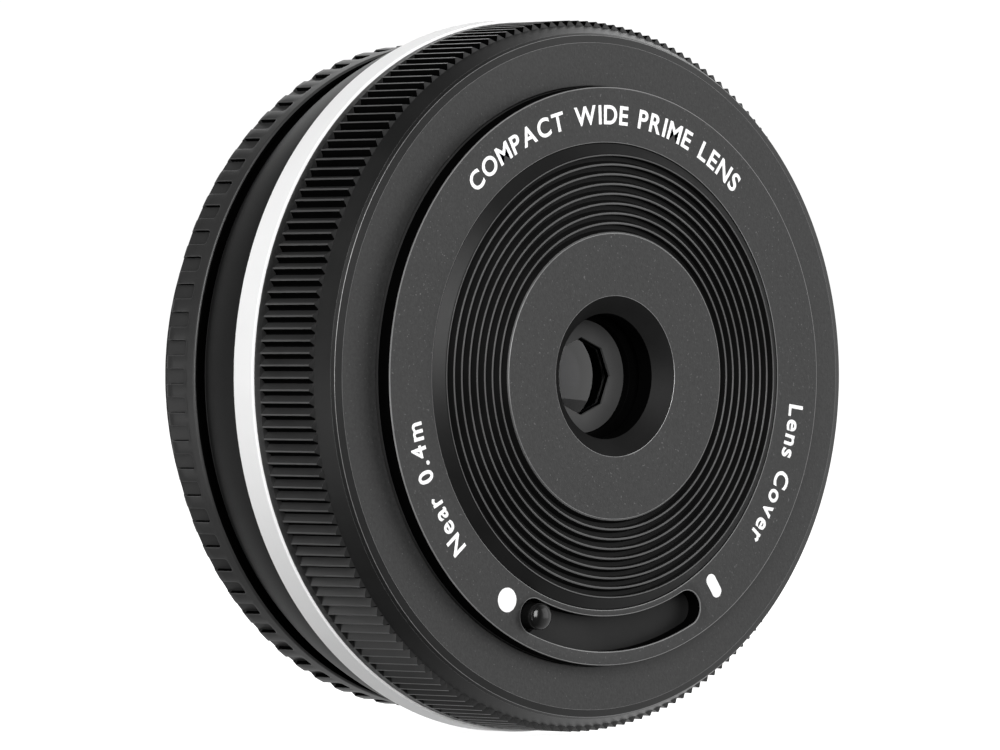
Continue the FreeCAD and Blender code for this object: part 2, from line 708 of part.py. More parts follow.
def stud_place(d, share):
    """The first blade's stud when the cover is closed by share, from 0, open, to 1, closed."""
    pivot = blade_pivot(d)
    middle = polar(d.stud_circle.value, d.stud_angle.value)
    turn = FreeCAD.Rotation(FreeCAD.Vector(0, 0, 1), d.blade_turn.value * (share - 0.5))
    return pivot + turn.multVec(middle - pivot)


def make_cam_ring(d):
    """The ring behind the front plate. Its two slots hold the blades' studs.

    A slot follows the stud as the ring sees it, so the blades turn in a fixed ratio to the ring.
    """
    height = d.ring_front_z.value - d.ring_back_z.value
    base = FreeCAD.Vector(0, 0, d.ring_back_z.value)
    blank = Part.makeCylinder(d.ring_outer.value, height, base)
    blank = blank.cut(Part.makeCylinder(d.ring_inner.value, height, base))
    path = []
    for share in (-0.03, 0.5, 1.03):
        ring_turn = FreeCAD.Rotation(FreeCAD.Vector(0, 0, 1), -d.lever_turn.value * share)
        path.append(ring_turn.multVec(stud_place(d, share)) + base)
    half = d.stud_radius.value + d.stud_clearance.value
    track = Part.Arc(*path).toShape().Curve
    centre = track.Center
    reach = track.Radius
    angles = [math.degrees(math.atan2(point.y - centre.y, point.x - centre.x)) for point in path]
    low, high = min(angles[0], angles[2]), max(angles[0], angles[2])
    up = FreeCAD.Vector(0, 0, 1)
    slot = Part.makeCylinder(reach + half, height, centre, up, high - low)
    slot = slot.cut(Part.makeCylinder(reach - half, height, centre, up))
    slot.rotate(centre, up, low)
    for end in (path[0], path[2]):
        slot = slot.fuse(Part.makeCylinder(half, height, end))
    made("cam_ring", blank.cut(slot).cut(at_angle(slot, 180)).removeSplitter())


def make_lever_pin(d):
    place = polar(d.lever_circle.value, d.lever_start.value)
    stem = Part.makeCylinder(d.lever_radius.value, d.lever_tip_z.value - d.ring_front_z.value,
                             place + FreeCAD.Vector(0, 0, d.ring_front_z.value))
    tip = [edge for edge in stem.Edges if abs(edge.CenterOfMass.z - d.lever_tip_z.value) < 0.001]
    made("lever_pin", stem.makeFillet(d.lever_edge.value, tip))


def make_blade(d, label, layer, half_turn):
    """A cover blade in its open place: a half disc, an arm to the pivot and a tail with a stud."""
    front = d.blade_front_z.value - layer * d.blade_step.value
    back = front - d.blade_thickness.value
    thick = d.blade_thickness.value
    pivot = blade_pivot(d)
    tail = stud_place(d, 1)
    overlap = d.blade_overlap.value
    radius = d.blade_radius.value
    disc = Part.makeCylinder(radius, thick, FreeCAD.Vector(0, 0, back))
    half_disc = disc.common(box(-radius, radius, -overlap, radius, back, front))
    arm = box(0, pivot.x, -overlap, 1.5, back, front)
    pivot_eye = pin(1.5, pivot.x, 0, back, front)
    across = (tail - pivot).cross(FreeCAD.Vector(0, 0, 1)).normalize() * 1.1
    level = FreeCAD.Vector(0, 0, back)
    corners = [pivot + across + level, tail + across + level, tail - across + level, pivot - across + level]
    tail_arm = Part.Face(Part.makePolygon(corners + corners[:1])).extrude(FreeCAD.Vector(0, 0, thick))
    tail_eye = pin(1.1, tail.x, tail.y, back, front)
    blade = half_disc.multiFuse([arm, pivot_eye, tail_arm, tail_eye])
    blade = blade.cut(pin(d.pivot_radius.value + d.pivot_clearance.value, pivot.x, 0, back, front))
    blade = blade.fuse(pin(d.stud_radius.value, tail.x, tail.y, back, d.ring_front_z.value)).removeSplitter()
    blade.rotate(pivot, FreeCAD.Vector(0, 0, 1), -d.blade_turn.value)
    made(label, at_angle(blade, half_turn))


def make_cover_blades(d):
    make_blade(d, "cover_blade_upper", 0, 0)
    make_blade(d, "cover_blade_lower", 1, 180)
    pivot = pin(d.pivot_radius.value, d.pivot_circle.value, 0, d.base_front_z.value, d.disc_back_z.value)
    made("blade_pivots", spread(pivot, 2))


def make_detent_spring(d):
    """A leaf on the cover base whose raised middle clicks under the cam ring."""
    floor = d.base_front_z.value
    foot = box(-6.0, 6.0, 20.6, 22.0, floor, floor + 0.2)
    hump = box(-1.5, 1.5, 20.6, 22.0, floor + 0.2, d.ring_back_z.value - 0.1)
    made("detent_spring", foot.fuse(hump).removeSplitter())


# ---------------------------------------------------------------------------------------
# Glass


def make_element(d, name):
    """A lens element: a cylindrical edge, a flat seat each side and two domed surfaces."""
    radius, front, back, clear, front_bulge, rear_bulge = [
        getattr(d, f"{name}_{key}")
        for key in ("radius", "front_z", "back_z", "clear", "front_bulge", "rear_bulge")]
    turned(name, [
        (0, back - rear_bulge, "dome"),
        (clear, back),
        (radius, back),
        (radius, front),
        (clear, front, "dome"),
        (0, front + front_bulge),
    ])


def make_glass(d):
    for name in ELEMENTS:
        make_element(d, name)


# ---------------------------------------------------------------------------------------
# Front lens group


def make_front_group(d):
    body = turned("front_lens_cell", [
        (d.first_bore, d.base_back_z),
        (d.front_flange_radius, d.base_back_z),
        (d.front_flange_radius, d.front_flange_back_z),
        (d.front_tube_radius, d.front_flange_back_z),
        (d.front_tube_radius, d.front_tube_back_z),
        (d.second_bore, d.front_tube_back_z),
        (d.second_bore, d.second_seat_z),
        (d.front_lip, d.second_seat_z),
        (d.front_lip, d.first_seat_z),
        (d.first_bore, d.first_seat_z),
    ])
    drill(body, "front_cell_hole", d.screw_radius + d.screw_gap, d.front_screw_circle, 0,
          d.front_flange_back_z, d.base_back_z, 3)
    ring("first_retaining_ring", d.first_element_clear + 0.05, d.first_bore,
         d.first_element_front_z, d.base_back_z)
    ring("second_retaining_ring", d.second_element_clear + 0.1, d.second_bore,
         d.front_tube_back_z + 0.2, d.second_element_back_z)
    shaft_top = d.base_back_z.value + d.cell_screw_reach.value
    seat = d.front_flange_back_z.value
    shaft = pin(d.screw_radius.value, d.front_screw_circle.value, 0, seat, shaft_top)
    head = pin(d.cell_screw_head.value, d.front_screw_circle.value, 0, seat - d.screw_height.value, seat)
    made("front_cell_screws", spread(shaft.fuse(head).removeSplitter(), 3))


# ---------------------------------------------------------------------------------------
# Focus group and voice coil motor


def make_focus_cell(d):
    body = turned("focus_cell", [
        (d.focus_bore, d.focus_front_z),
        (d.focus_tube_radius, d.focus_front_z),
        (d.focus_tube_radius, d.focus_flange_front_z),
        (d.focus_flange_radius, d.focus_flange_front_z),
        (d.focus_flange_radius, d.focus_back_z),
        (d.focus_lip, d.focus_back_z),
        (d.focus_lip, d.focus_seat_z),
        (d.focus_bore, d.focus_seat_z),
    ])
    pad(body, "sleeve", d.focus_flange_front_z, d.sleeve_front_z,
        lambda sketch: circle(sketch, d.rod_circle, 0, d.sleeve_radius))
    drill(body, "sleeve_hole", d.rod_radius + d.rod_clearance, d.rod_circle, 0,
          d.focus_back_z, d.sleeve_front_z)
    clearance = d.rod_radius + d.rod_clearance
    pocket(body, "guide_slot", d.focus_back_z, d.focus_flange_front_z,
           lambda sketch: rectangle(sketch, -d.rod_circle - 1.2, -d.rod_circle + 1.2, -clearance, clearance))


def make_focus_rings(d):
    inner = d.focus_lip + 0.05
    ring("front_focus_spacer", inner, d.focus_bore, d.fourth_element_front_z, d.third_element_back_z)
    ring("rear_focus_spacer", inner, d.focus_bore, d.fifth_element_front_z, d.fourth_element_back_z)
    ring("focus_retaining_ring", inner, d.focus_bore, d.third_element_front_z, d.focus_front_z - 0.1)


def make_motor(d):
    ring("voice_coil", d.coil_inner, d.focus_flange_radius, d.focus_flange_front_z, d.coil_front_z)
    magnet = sector(d.magnet_inner.value, d.magnet_outer.value, d.magnet_back_z.value,
                    d.magnet_front_z.value, d.magnet_angle.value)
    made("drive_magnets", spread(magnet, 4, 45))
    ring("magnet_yoke", d.magnet_outer, d.motor_wall_inner, d.chassis_floor_front_z, d.yoke_front_z)
    scale_back = d.focus_flange_front_z.value
    made("position_magnet", box(-0.8, 0.8, 9.4, 11.6, scale_back, scale_back + 2.8))
    cover_back = d.motor_wall_front_z.value
    made("position_sensor", box(-1.6, 1.6, 9.4, 11.8, cover_back - 0.9, cover_back))


def make_actuator_cover(d):
    back = d.motor_wall_front_z
    front = d.actuator_cover_front_z
    body = turned("actuator_cover", [
        (d.actuator_cover_bore, back), (d.motor_wall_outer, back),
        (d.motor_wall_outer, front), (d.actuator_cover_bore, front),
    ])
    drill(body, "rod_hole", d.rod_radius, d.rod_circle, 0, back, back + d.rod_socket, 2)
    drill(body, "actuator_screw_hole", d.fine_screw_radius + d.screw_gap, 0, d.actuator_screw_circle,
          back, front, 3)
    actuator_screw = screw(d.actuator_screw_circle, d.fine_screw_radius, d.fine_screw_head,
                           d.fine_screw_height, d.actuator_screw_end_z, front)
    made("actuator_screws", spread(actuator_screw, 3, 90))


def make_guide_rods(d):
    seat = d.chassis_floor_front_z - d.rod_seat_depth
    for label, side in (("main_guide_rod", 1), ("second_guide_rod", -1)):
        rod = doc.addObject("Part::Cylinder", label + "_bar")
        bind(rod, "Radius", d.rod_radius)
        bind(rod, "Height", d.motor_wall_front_z + d.rod_socket - seat)
        bind(rod, "Placement.Base.x", d.rod_circle * side)
        bind(rod, "Placement.Base.z", seat)
        placed = doc.addObject("Part::Compound", label)
        placed.Links = [rod]
        keep(placed, label)


# ---------------------------------------------------------------------------------------
# Chassis, board and rear group


def make_chassis(d):
    body = turned("chassis", [
        (d.chassis_bore, d.barrel_floor_z),
        (d.chassis_radius, d.barrel_floor_z),
        (d.chassis_radius, d.base_back_z),
        (d.chassis_rim_inner, d.base_back_z),
        (d.chassis_rim_inner, d.base_back_z - 1.7),
        (d.chassis_inner, d.base_back_z - 2.7),
        (d.chassis_inner, d.chassis_floor_front_z),
        (d.motor_wall_outer, d.chassis_floor_front_z),
        (d.motor_wall_outer, d.motor_wall_front_z),
        (d.motor_wall_inner, d.motor_wall_front_z),
        (d.motor_wall_inner, d.chassis_floor_front_z),
        (d.chassis_bore, d.chassis_floor_front_z),
    ])
    floor = d.chassis_floor_front_z
    drill(body, "mount_thread", d.mount_screw_radius, d.mount_screw_circle, 0, d.barrel_floor_z, floor, 4)
    drill(body, "rod_seat", d.rod_radius, d.rod_circle, 0, floor - d.rod_seat_depth, floor, 2)
    light_thread = d.light_screw_radius + d.thread_gap
    drill(body, "rear_cell_thread", light_thread, 0, d.rear_screw_circle, d.barrel_floor_z, floor, 3)
    turn = math.radians(45)
    drill(body, "board_thread", light_thread, d.board_screw_circle * math.cos(turn),
          d.board_screw_circle * math.sin(turn), d.barrel_floor_z, floor, 3)
    pocket(body, "flex_slot_through_floor", d.barrel_floor_z, floor,
           lambda sketch: draw_flex_slot(sketch, d))
    top = d.base_back_z
    drill(body, "cover_thread", d.screw_radius, d.cover_screw_circle, 0, top - 1.5, top, 4)
    drill(body, "actuator_thread", d.fine_screw_radius, 0, d.actuator_screw_circle,
          d.motor_wall_front_z - 1.7, d.motor_wall_front_z, 3)


def make_board(d):
    back = d.chassis_floor_front_z
    front = back + d.board_thickness
    body = turned("main_board", [
        (d.board_inner, back), (d.board_outer, back), (d.board_outer, front), (d.board_inner, front),
    ])
    turn = math.radians(45)
    drill(body, "board_hole", d.light_screw_hole, d.board_screw_circle * math.cos(turn),
          d.board_screw_circle * math.sin(turn), back, front, 3)
    level = front.value
    chips = []
    for angle, length, width, height in ((90, 4.6, 5.5, 0.9), (12, 4.4, 4.4, 0.8), (192, 4.4, 6.0, 0.8),
                                         (222, 2.2, 3.0, 1.1), (330, 2.4, 2.4, 1.0), (65, 1.6, 2.4, 0.7)):
        chip = box(22 - length / 2, 22 + length / 2, -width / 2, width / 2, level, level + height)
        chips.append(at_angle(chip, angle))
    made("board_chips", Part.makeCompound(chips))
    half = d.connector_width.value / 2
    made("board_connector", box(-half, half, -d.connector_outer.value, -d.connector_inner.value,
                                level, level + d.connector_height.value))
    board_screw = screw(d.board_screw_circle, d.light_screw_radius, d.light_screw_head,
                        d.light_screw_height, d.board_screw_end_z, level)
    made("board_screws", spread(board_screw, 3, 45))
    wide = d.flex_width.value / 2
    thick = d.flex_thickness.value
    inner = -d.flex_place.value + thick / 2
    strip = box(-wide, wide, inner - thick, inner, d.window_plate_back_z.value, level + thick)
    tongue = box(-wide, wide, -d.connector_inner.value, inner, level, level + thick)
    made("mount_flex", strip.fuse(tongue).removeSplitter())


def make_rear_group(d):
    seat = d.barrel_floor_z
    body = turned("rear_lens_cell", [
        (d.rear_lip, seat),
        (d.rear_flange_radius, seat),
        (d.rear_flange_radius, d.rear_flange_back_z),
        (d.rear_tube_radius, d.rear_flange_back_z),
        (d.rear_tube_radius, d.rear_tube_back_z),
        (d.rear_bore, d.rear_tube_back_z),
        (d.rear_bore, d.rear_seat_z),
        (d.rear_lip, d.rear_seat_z),
    ])
    drill(body, "rear_cell_hole", d.light_screw_hole, 0, d.rear_screw_circle, d.rear_flange_back_z, seat, 3)
    ring("rear_retaining_ring", d.rear_lip + 0.05, d.rear_bore, d.rear_tube_back_z + 0.3,
         d.rear_element_back_z)
    flange = d.rear_flange_back_z.value
    place = d.rear_screw_circle.value
    shaft = pin(d.light_screw_radius.value, place, 0, flange, seat.value + d.rear_screw_reach.value)
    head = pin(d.light_screw_head.value, place, 0, flange - d.light_screw_height.value, flange)
    made("rear_cell_screws", spread(shaft.fuse(head).removeSplitter(), 3, 90))


# ---------------------------------------------------------------------------------------
# Rear cap


def make_rear_cap(d):
    """The push-on cap, turned to the angle where its lugs pass between those of the mount."""
    blank = new_body("rear_cap_blank")
    sub_parts.remove(blank)
    revolve(blank, [
        (d.cap_mouth, -d.cap_gap),
        (d.cap_groove_inner, -d.cap_gap),
        (d.cap_groove_inner, -d.cap_groove_floor),
        (d.cap_lip_inner, -d.cap_groove_floor),
        (d.cap_lip_inner, d.cap_lip_front),
        (d.cap_rib_radius - 0.2, d.cap_lip_front),
        (d.cap_rib_radius, d.cap_lip_front - 0.2),
        (d.cap_rib_radius, -d.cap_rib_back + 0.1),
        (d.cap_rib_radius - 0.1, -d.cap_rib_back),
        (d.cap_boss_radius, -d.cap_rib_back),
        (d.cap_boss_radius, -d.cap_boss_edge),
        (d.cap_back_radius, -d.cap_back),
        (d.cap_recess_radius, -d.cap_back),
        (d.cap_recess_radius, -d.cap_back + d.cap_recess_depth),
        (0, -d.cap_back + d.cap_recess_depth),
        (0, -d.cap_cavity_back),
        (d.cap_cavity_radius, -d.cap_cavity_back),
        (d.cap_mouth, -d.cap_boss_edge + 0.7),
    ])
    lug = sector(d.cap_lug_inner.value, d.cap_mouth.value + 0.1, -d.cap_lug_back.value,
                 -d.cap_lug_front.value, d.cap_lug_angle.value)
    lugs = doc.addObject("Part::Feature", "cap_lugs")
    lugs.Shape = spread(lug, 3, 30)
    fused = doc.addObject("Part::MultiFuse", "cap_fused")
    fused.Shapes = [blank, lugs]
    floor_radius = d.cap_rib_radius.value - d.cap_notch_depth.value
    half = d.cap_notch_width.value / 2
    notch = box(floor_radius, floor_radius + 1, -half, half, -d.cap_rib_back.value, -d.cap_rib_front.value)
    notches = doc.addObject("Part::Feature", "cap_notches")
    notches.Shape = spread(notch, int(d.cap_rib_count.value))
    cap = doc.addObject("Part::Cut", "rear_cap")
    cap.Base = fused
    cap.Tool = notches
    keep(cap, "rear_cap")


# ---------------------------------------------------------------------------------------


def check_document():
    """Stops if any object of the document failed or any sub-part is not a sound solid."""
    for item in doc.Objects:
        if "Invalid" in item.State or "Error" in item.State:
            raise RuntimeError(f"{item.Name} failed: {item.State}")
    for item in sub_parts:
        if item.Shape.isNull() or not item.Shape.isValid() or not item.Shape.Solids:
            raise RuntimeError(f"{item.Label} has no sound shape")


def main():
    d = fill_sheet()
    makers = (
        make_front_shell, make_trim_ring, make_rear_barrel, make_bayonet_mount, make_mount_screws,
        make_rear_baffle, make_contacts, make_name_plate, make_ribbed_baffle, make_centre_disc,
        make_cover_base, make_cover_screws, make_stop_plate, make_cam_ring, make_lever_pin,
        make_cover_blades, make_detent_spring, make_glass, make_front_group, make_focus_cell,
        make_focus_rings, make_motor, make_actuator_cover, make_guide_rods, make_chassis,
        make_board, make_rear_group, make_rear_cap,
    )
    for make in makers:
        make(d)
    for item in sub_parts:
        item.Placement = LENS_POSE
    doc.recompute()
    check_document()
    os.makedirs("parts", exist_ok=True)
    for item in sub_parts:
        item.Shape.exportStep(f"parts/{item.Label}.step")
        solids = len(item.Shape.Solids)
        print(f"{item.Label}: {solids} solid(s), {item.Shape.Volume:.1f} mm3")
    print(f"{len(sub_parts)} sub-parts")


main()
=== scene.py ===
"""Looks of the compact prime lens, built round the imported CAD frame. All piece sizes are in mm."""
import json
import math

import bmesh
import bpy
from mathutils import Matrix, Vector


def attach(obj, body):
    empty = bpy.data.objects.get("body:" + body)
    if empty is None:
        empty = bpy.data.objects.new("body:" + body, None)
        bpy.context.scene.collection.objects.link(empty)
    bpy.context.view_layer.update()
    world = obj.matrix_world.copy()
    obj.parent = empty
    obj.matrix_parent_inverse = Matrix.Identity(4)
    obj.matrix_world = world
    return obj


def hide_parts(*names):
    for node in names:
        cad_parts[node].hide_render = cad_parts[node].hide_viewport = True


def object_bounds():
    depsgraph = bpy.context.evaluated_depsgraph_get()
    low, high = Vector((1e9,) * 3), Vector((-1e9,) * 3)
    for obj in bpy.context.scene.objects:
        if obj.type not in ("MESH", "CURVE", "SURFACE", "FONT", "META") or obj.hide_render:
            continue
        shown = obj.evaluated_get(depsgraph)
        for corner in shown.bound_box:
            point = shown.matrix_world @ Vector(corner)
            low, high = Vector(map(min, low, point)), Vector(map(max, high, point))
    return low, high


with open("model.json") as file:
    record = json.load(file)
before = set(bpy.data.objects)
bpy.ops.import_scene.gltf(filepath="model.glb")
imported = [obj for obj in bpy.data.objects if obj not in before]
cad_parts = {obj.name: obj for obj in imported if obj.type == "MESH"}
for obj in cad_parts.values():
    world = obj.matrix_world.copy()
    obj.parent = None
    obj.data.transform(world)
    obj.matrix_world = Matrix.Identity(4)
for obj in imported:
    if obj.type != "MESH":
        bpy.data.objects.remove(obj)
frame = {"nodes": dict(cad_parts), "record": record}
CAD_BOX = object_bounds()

MM = 0.001
SEGMENTS = 432
WELD = 0.4e-6  # metres
TINY = 1e-6  # mm

# ---------------------------------------------------------------------------------------
# Sizes: a radius is from the lens axis, and a forward place is from the mount's face

TRIM = {"radius": 30.35, "inner": 28.0, "back": 7.45, "front": 9.85, "edge": 0.08}
KNURL = {"radius": 30.15, "depth": 0.45, "count": 184, "back": 10.65, "front": 16.95, "fall": 0.09,
         "edge": 0.06}
SHELL = {"face": 18.85, "face_radius": 28.23, "well": 24.55, "inner": 28.5, "back": 16.9}
BARREL = {"radius": 29.98, "rear_radius": 27.95, "rear": 0.98, "curve": 15.0, "inner": 27.4}
PLATE = {"inner": 19.75, "outer": 24.45, "front": 20.5, "back": 19.05, "edge": 0.09}
LEVER = {"circle": 21.78, "half_width": 1.48, "start": -112.7, "span": 47.7, "pin_angle": -112.5,
         "radius": 1.12, "foot": 1.5, "foot_back": 18.95, "dome": 21.3, "tip": 21.9}
RIDGES = {"outer": 18.7, "outer_front": 21.15, "inner": 12.1, "inner_front": 21.41, "count": 8,
          "round": 0.05, "depth": 0.55, "foot": 19.7, "back": 19.3}
DISC = {"radius": 12.1, "front": 21.47, "seat": 20.4, "mouth": 6.8, "bore": 5.3, "throat": 20.2,
        "back": 18.6, "neck": 7.5}
STOP = {"corner": 3.3, "back": 16.95, "floor": 17.2, "well": 4.85, "brim": 17.9, "brim_back": 17.6,
        "outer": 8.55, "cup": 5.9, "lap": 4.7}
CAP = {"radius": 28.56, "ribs": 74, "notch": 1.28, "depth": 0.40, "front": -1.0, "back": -3.8,
       "inner": 27.6, "band": 0.35, "lip": 0.2, "rim": 28.1, "throat": 23.4, "floor": -8.6,
       "boss": 25.0, "stand": -10.2, "dish": -9.7, "middle": 8.0, "level": -3.2}
GLASS = {"radius": 5.9, "front": 16.25, "front_rise": 0.75, "back": 14.3, "back_rise": 1.4}
LETTERS = {"height": 1.63, "circle": 22.15, "capital": 0.73, "gap": 0.13, "space": 0.3,
           "lift": 0.012, "thickness": 0.6}
MARK = {"circle": 21.9, "open": -121.4, "radius": 1.03, "bar_circle": 21.7, "closed": -55.6,
        "bar_half": 0.55, "points": 48}
CAMERA = {"azimuth": -41.75, "elevation": 0.18, "distance": 800, "right": 1.084, "up": 0.072,
          "aim": 5.2, "focal": 336.0, "sensor": 36.0, "near": 0.01}

# One tooth of the knurl, as (share of its pitch, share of the groove's depth): a flat crest, a
# steep side, the groove's floor, and a gentle side up to the next crest
TOOTH = ((0.0, 0.04), (0.03, 0.0), (0.12, 0.0), (0.15, 0.04), (0.40, 0.95), (0.44, 1.0), (0.54, 1.0))
# The stretch of each tooth's pitch that gets painted shade: its steep side and the groove's floor
PAINTED_SHADE_PHASES = (0.14, 0.55)


def spot(radius, angle, forward):
    """The point at a radius and an angle in degrees round the lens axis, in the row frame."""
    turn = math.radians(angle)
    return (radius * math.cos(turn) * MM, -forward * MM, radius * math.sin(turn) * MM)


# ---------------------------------------------------------------------------------------
# Mesh helpers


def finish_mesh(name, bm, sharp=32):
    """Welds a bmesh, points its faces outward, shades it smooth up to the sharp angle."""
    bmesh.ops.remove_doubles(bm, verts=bm.verts, dist=WELD)
    bmesh.ops.recalc_face_normals(bm, faces=bm.faces)
    mesh = bpy.data.meshes.new(name)
    bm.to_mesh(mesh)
    bm.free()
    mesh.polygons.foreach_set("use_smooth", [True] * len(mesh.polygons))
    mesh.set_sharp_from_angle(angle=math.radians(sharp))
    piece = bpy.data.objects.new(name, mesh)
    bpy.context.scene.collection.objects.link(piece)
    return piece


def soften(corners, closed=True, steps=4, most=0.4, lead=1.2):
    """An outline of (radius, forward, fillet) corners as points, with each corner rounded.

    A fillet takes at most the share "most" of an edge. A further point on each side of it, at
    "lead" times its reach, keeps the smooth shading off the flat.
    """
    points = []
    count = len(corners)
    for index, corner in enumerate(corners):
        here = Vector(corner[:2])
        fillet = corner[2] if len(corner) > 2 else 0
        at_end = not closed and index in (0, count - 1)
        if not fillet or at_end:
            points.append(here)
            continue
        to_last = Vector(corners[index - 1][:2]) - here
        to_next = Vector(corners[(index + 1) % count][:2]) - here
        reach = fillet / math.tan(to_last.angle(to_next) / 2)
        reach = min(reach, most * to_last.length, most * to_next.length)
        start = here + to_last.normalized() * reach
        end = here + to_next.normalized() * reach
        points.append(here + to_last.normalized() * reach * lead)
        for step in range(steps + 1):
            t = step / steps
            points.append(start * (1 - t) ** 2 + here * 2 * t * (1 - t) + end * t ** 2)
        points.append(here + to_next.normalized() * reach * lead)
    return points


def bulge(start, end, radius, steps=16):
    """Points from start to end along an arc that bulges away from the lens axis."""
    start = Vector(start)
    end = Vector(end)
    across = Vector((start.y - end.y, end.x - start.x)).normalized()
    if across.x > 0:
        across = -across
    centre = (start + end) / 2 + across * math.sqrt(radius ** 2 - (end - start).length_squared / 4)
    first = math.atan2(start.y - centre.y, start.x - centre.x)
    last = math.atan2(end.y - centre.y, end.x - centre.x)
    turns = [first + (last - first) * step / steps for step in range(steps + 1)]
    return [(centre.x + radius * math.cos(turn), centre.y + radius * math.sin(turn)) for turn in turns]


def even(count):
    """Evenly spaced angles in degrees."""
    return [360 * index / count for index in range(count)]


def skin(bm, rows, closed_row=True):
    """Quads between each row of vertices and the next."""
    for first, second in zip(rows, rows[1:]):
        count = len(first)
        for index in range(count if closed_row else count - 1):
            after = (index + 1) % count
            corners = [first[index], first[after], second[after], second[index]]
            corners = [v for place, v in enumerate(corners) if v not in corners[:place]]
            if len(corners) > 2:
                bm.faces.new(corners)


def turn_outline(bm, points, angles, closed=True):
    """Turns (radius, forward) points about the lens axis, one column of faces per angle."""
    rows = []
    for radius, forward in points:
        if radius < TINY:
            pole = bm.verts.new(spot(0, 0, forward))
            rows.append([pole] * len(angles))
            continue
        rows.append([bm.verts.new(spot(radius, angle, forward)) for angle in angles])
    if closed:
        rows.append(rows[0])
    skin(bm, rows)


def lathe(name, points, segments=SEGMENTS, closed=True, sharp=32):
    """A piece turned about the lens axis."""
    bm = bmesh.new()
    turn_outline(bm, points, even(segments), closed)
    return finish_mesh(name, bm, sharp)


def lathe_at(name, points, centre, angle, segments=64):
    """A turned piece whose own axis lies at a radius and angle from the lens axis."""
    piece = lathe(name, points, segments, closed=False)
    piece.data.transform(Matrix.Translation(spot(centre, angle, 0)))
    return piece


# ---------------------------------------------------------------------------------------
# Outer shells


def knurl_rows(bm):
    """The grip's rows of vertices, from its rear edge to the smooth band in front."""
    angles = []
    depths = []
    for tooth in range(KNURL["count"]):
        for share, depth in TOOTH:
            angles.append(360 * (tooth + share) / KNURL["count"])
            depths.append(depth * KNURL["depth"])
    top = KNURL["radius"]
    rear = TRIM["front"]
    edge = KNURL["edge"]
    rows = []
    for radius, forward in ((top - edge, rear), (top, rear + edge), (top, KNURL["back"] - 0.02)):
        rows.append([bm.verts.new(spot(radius, angle, forward)) for angle in angles])
    columns = list(zip(angles, depths))
    rows.append([bm.verts.new(spot(top - depth, angle, KNURL["back"] + 0.03)) for angle, depth in columns])
    ends = []
    for angle, depth in columns:
        meet = KNURL["front"] - KNURL["fall"] * (1 - depth / KNURL["depth"])
        ends.append(bm.verts.new(spot(top - depth, angle, min(meet, KNURL["front"] - 0.02))))
    rows.append(ends)
    return rows, angles


def paint_groove_shading(piece, finishes):
    """Paints shade on the grooves' steep sides and floors, and paints their gentle sides lighter, as lit."""
    crest = KNURL["radius"] - 0.02
    low = KNURL["radius"] - KNURL["depth"] - 0.1
    start, end = PAINTED_SHADE_PHASES
    for face in piece.data.polygons:
        radius, forward, angle = place_of(face)
        if not (low < radius < crest and KNURL["back"] + 0.05 < forward < KNURL["front"] - 0.1):
            continue
        phase = (angle % 360 * KNURL["count"] / 360) % 1
        face.material_index = finishes.index("painted_shade_black" if start < phase < end else "painted_lit_knurl")


def make_shell():
    """The front shell: knurled grip, smooth band, stepped nose and blasted face."""
    bm = bmesh.new()
    rows, angles = knurl_rows(bm)
    floor = KNURL["radius"] - KNURL["depth"]
    nose = [(29.05, 18.35), (28.86, 18.64), (SHELL["face_radius"], SHELL["face"])]
    rest = [
        (floor + 0.01, KNURL["front"] + 0.01), (floor - 0.01, 17.0), (*nose[0], 0.06), (*nose[1], 0.06),
        (*nose[2], 0.05), (SHELL["well"], SHELL["face"], 0.08), (SHELL["well"], 17.3),
        (SHELL["well"], SHELL["back"]), (SHELL["inner"], SHELL["back"]), (SHELL["inner"], TRIM["front"]),
    ]
    for radius, forward in soften(rest, closed=False, steps=3):
        rows.append([bm.verts.new(spot(radius, angle, forward)) for angle in angles])
    rows.append(rows[0])
    skin(bm, rows)
    piece = finish_mesh("front_grip_shell", bm, 24)
    finishes = ("grip_black", "painted_edge_highlight", "blasted_black", "painted_crest_highlight", "painted_shade_black", "painted_lit_knurl")
    crest = KNURL["radius"] - 0.02
    rear = KNURL["back"] - 0.05
    front = KNURL["front"] - 0.05
    # Painted highlight on the nose's round edges
    mark(piece, finishes, "painted_edge_highlight", near(nose, 0.045))
    mark(piece, finishes, "blasted_black", lambda radius, forward, tilt: radius < 28.18 and forward > 18.7)
    # Painted highlight along the knurl's crests
    mark(piece, finishes, "painted_crest_highlight",
         lambda radius, forward, tilt: radius > crest and rear < forward < front)
    # Painted shade in the grooves, and painted light on the teeth's gentle sides
    paint_groove_shading(piece, finishes)
    return dress(piece, "lens_barrel", "front_black", finishes, "front_shell")


def make_trim():
    """The pale ring between the grip and the rear barrel."""
    outline = [
        (TRIM["inner"], TRIM["back"]), (TRIM["radius"], TRIM["back"], TRIM["edge"]),
        (TRIM["radius"], TRIM["front"], TRIM["edge"]), (TRIM["inner"], TRIM["front"]),
    ]
    piece = lathe("silver_trim_ring", soften(outline), sharp=40)
    return dress(piece, "lens_barrel", "silver_trim", "satin_silver", "trim_ring")


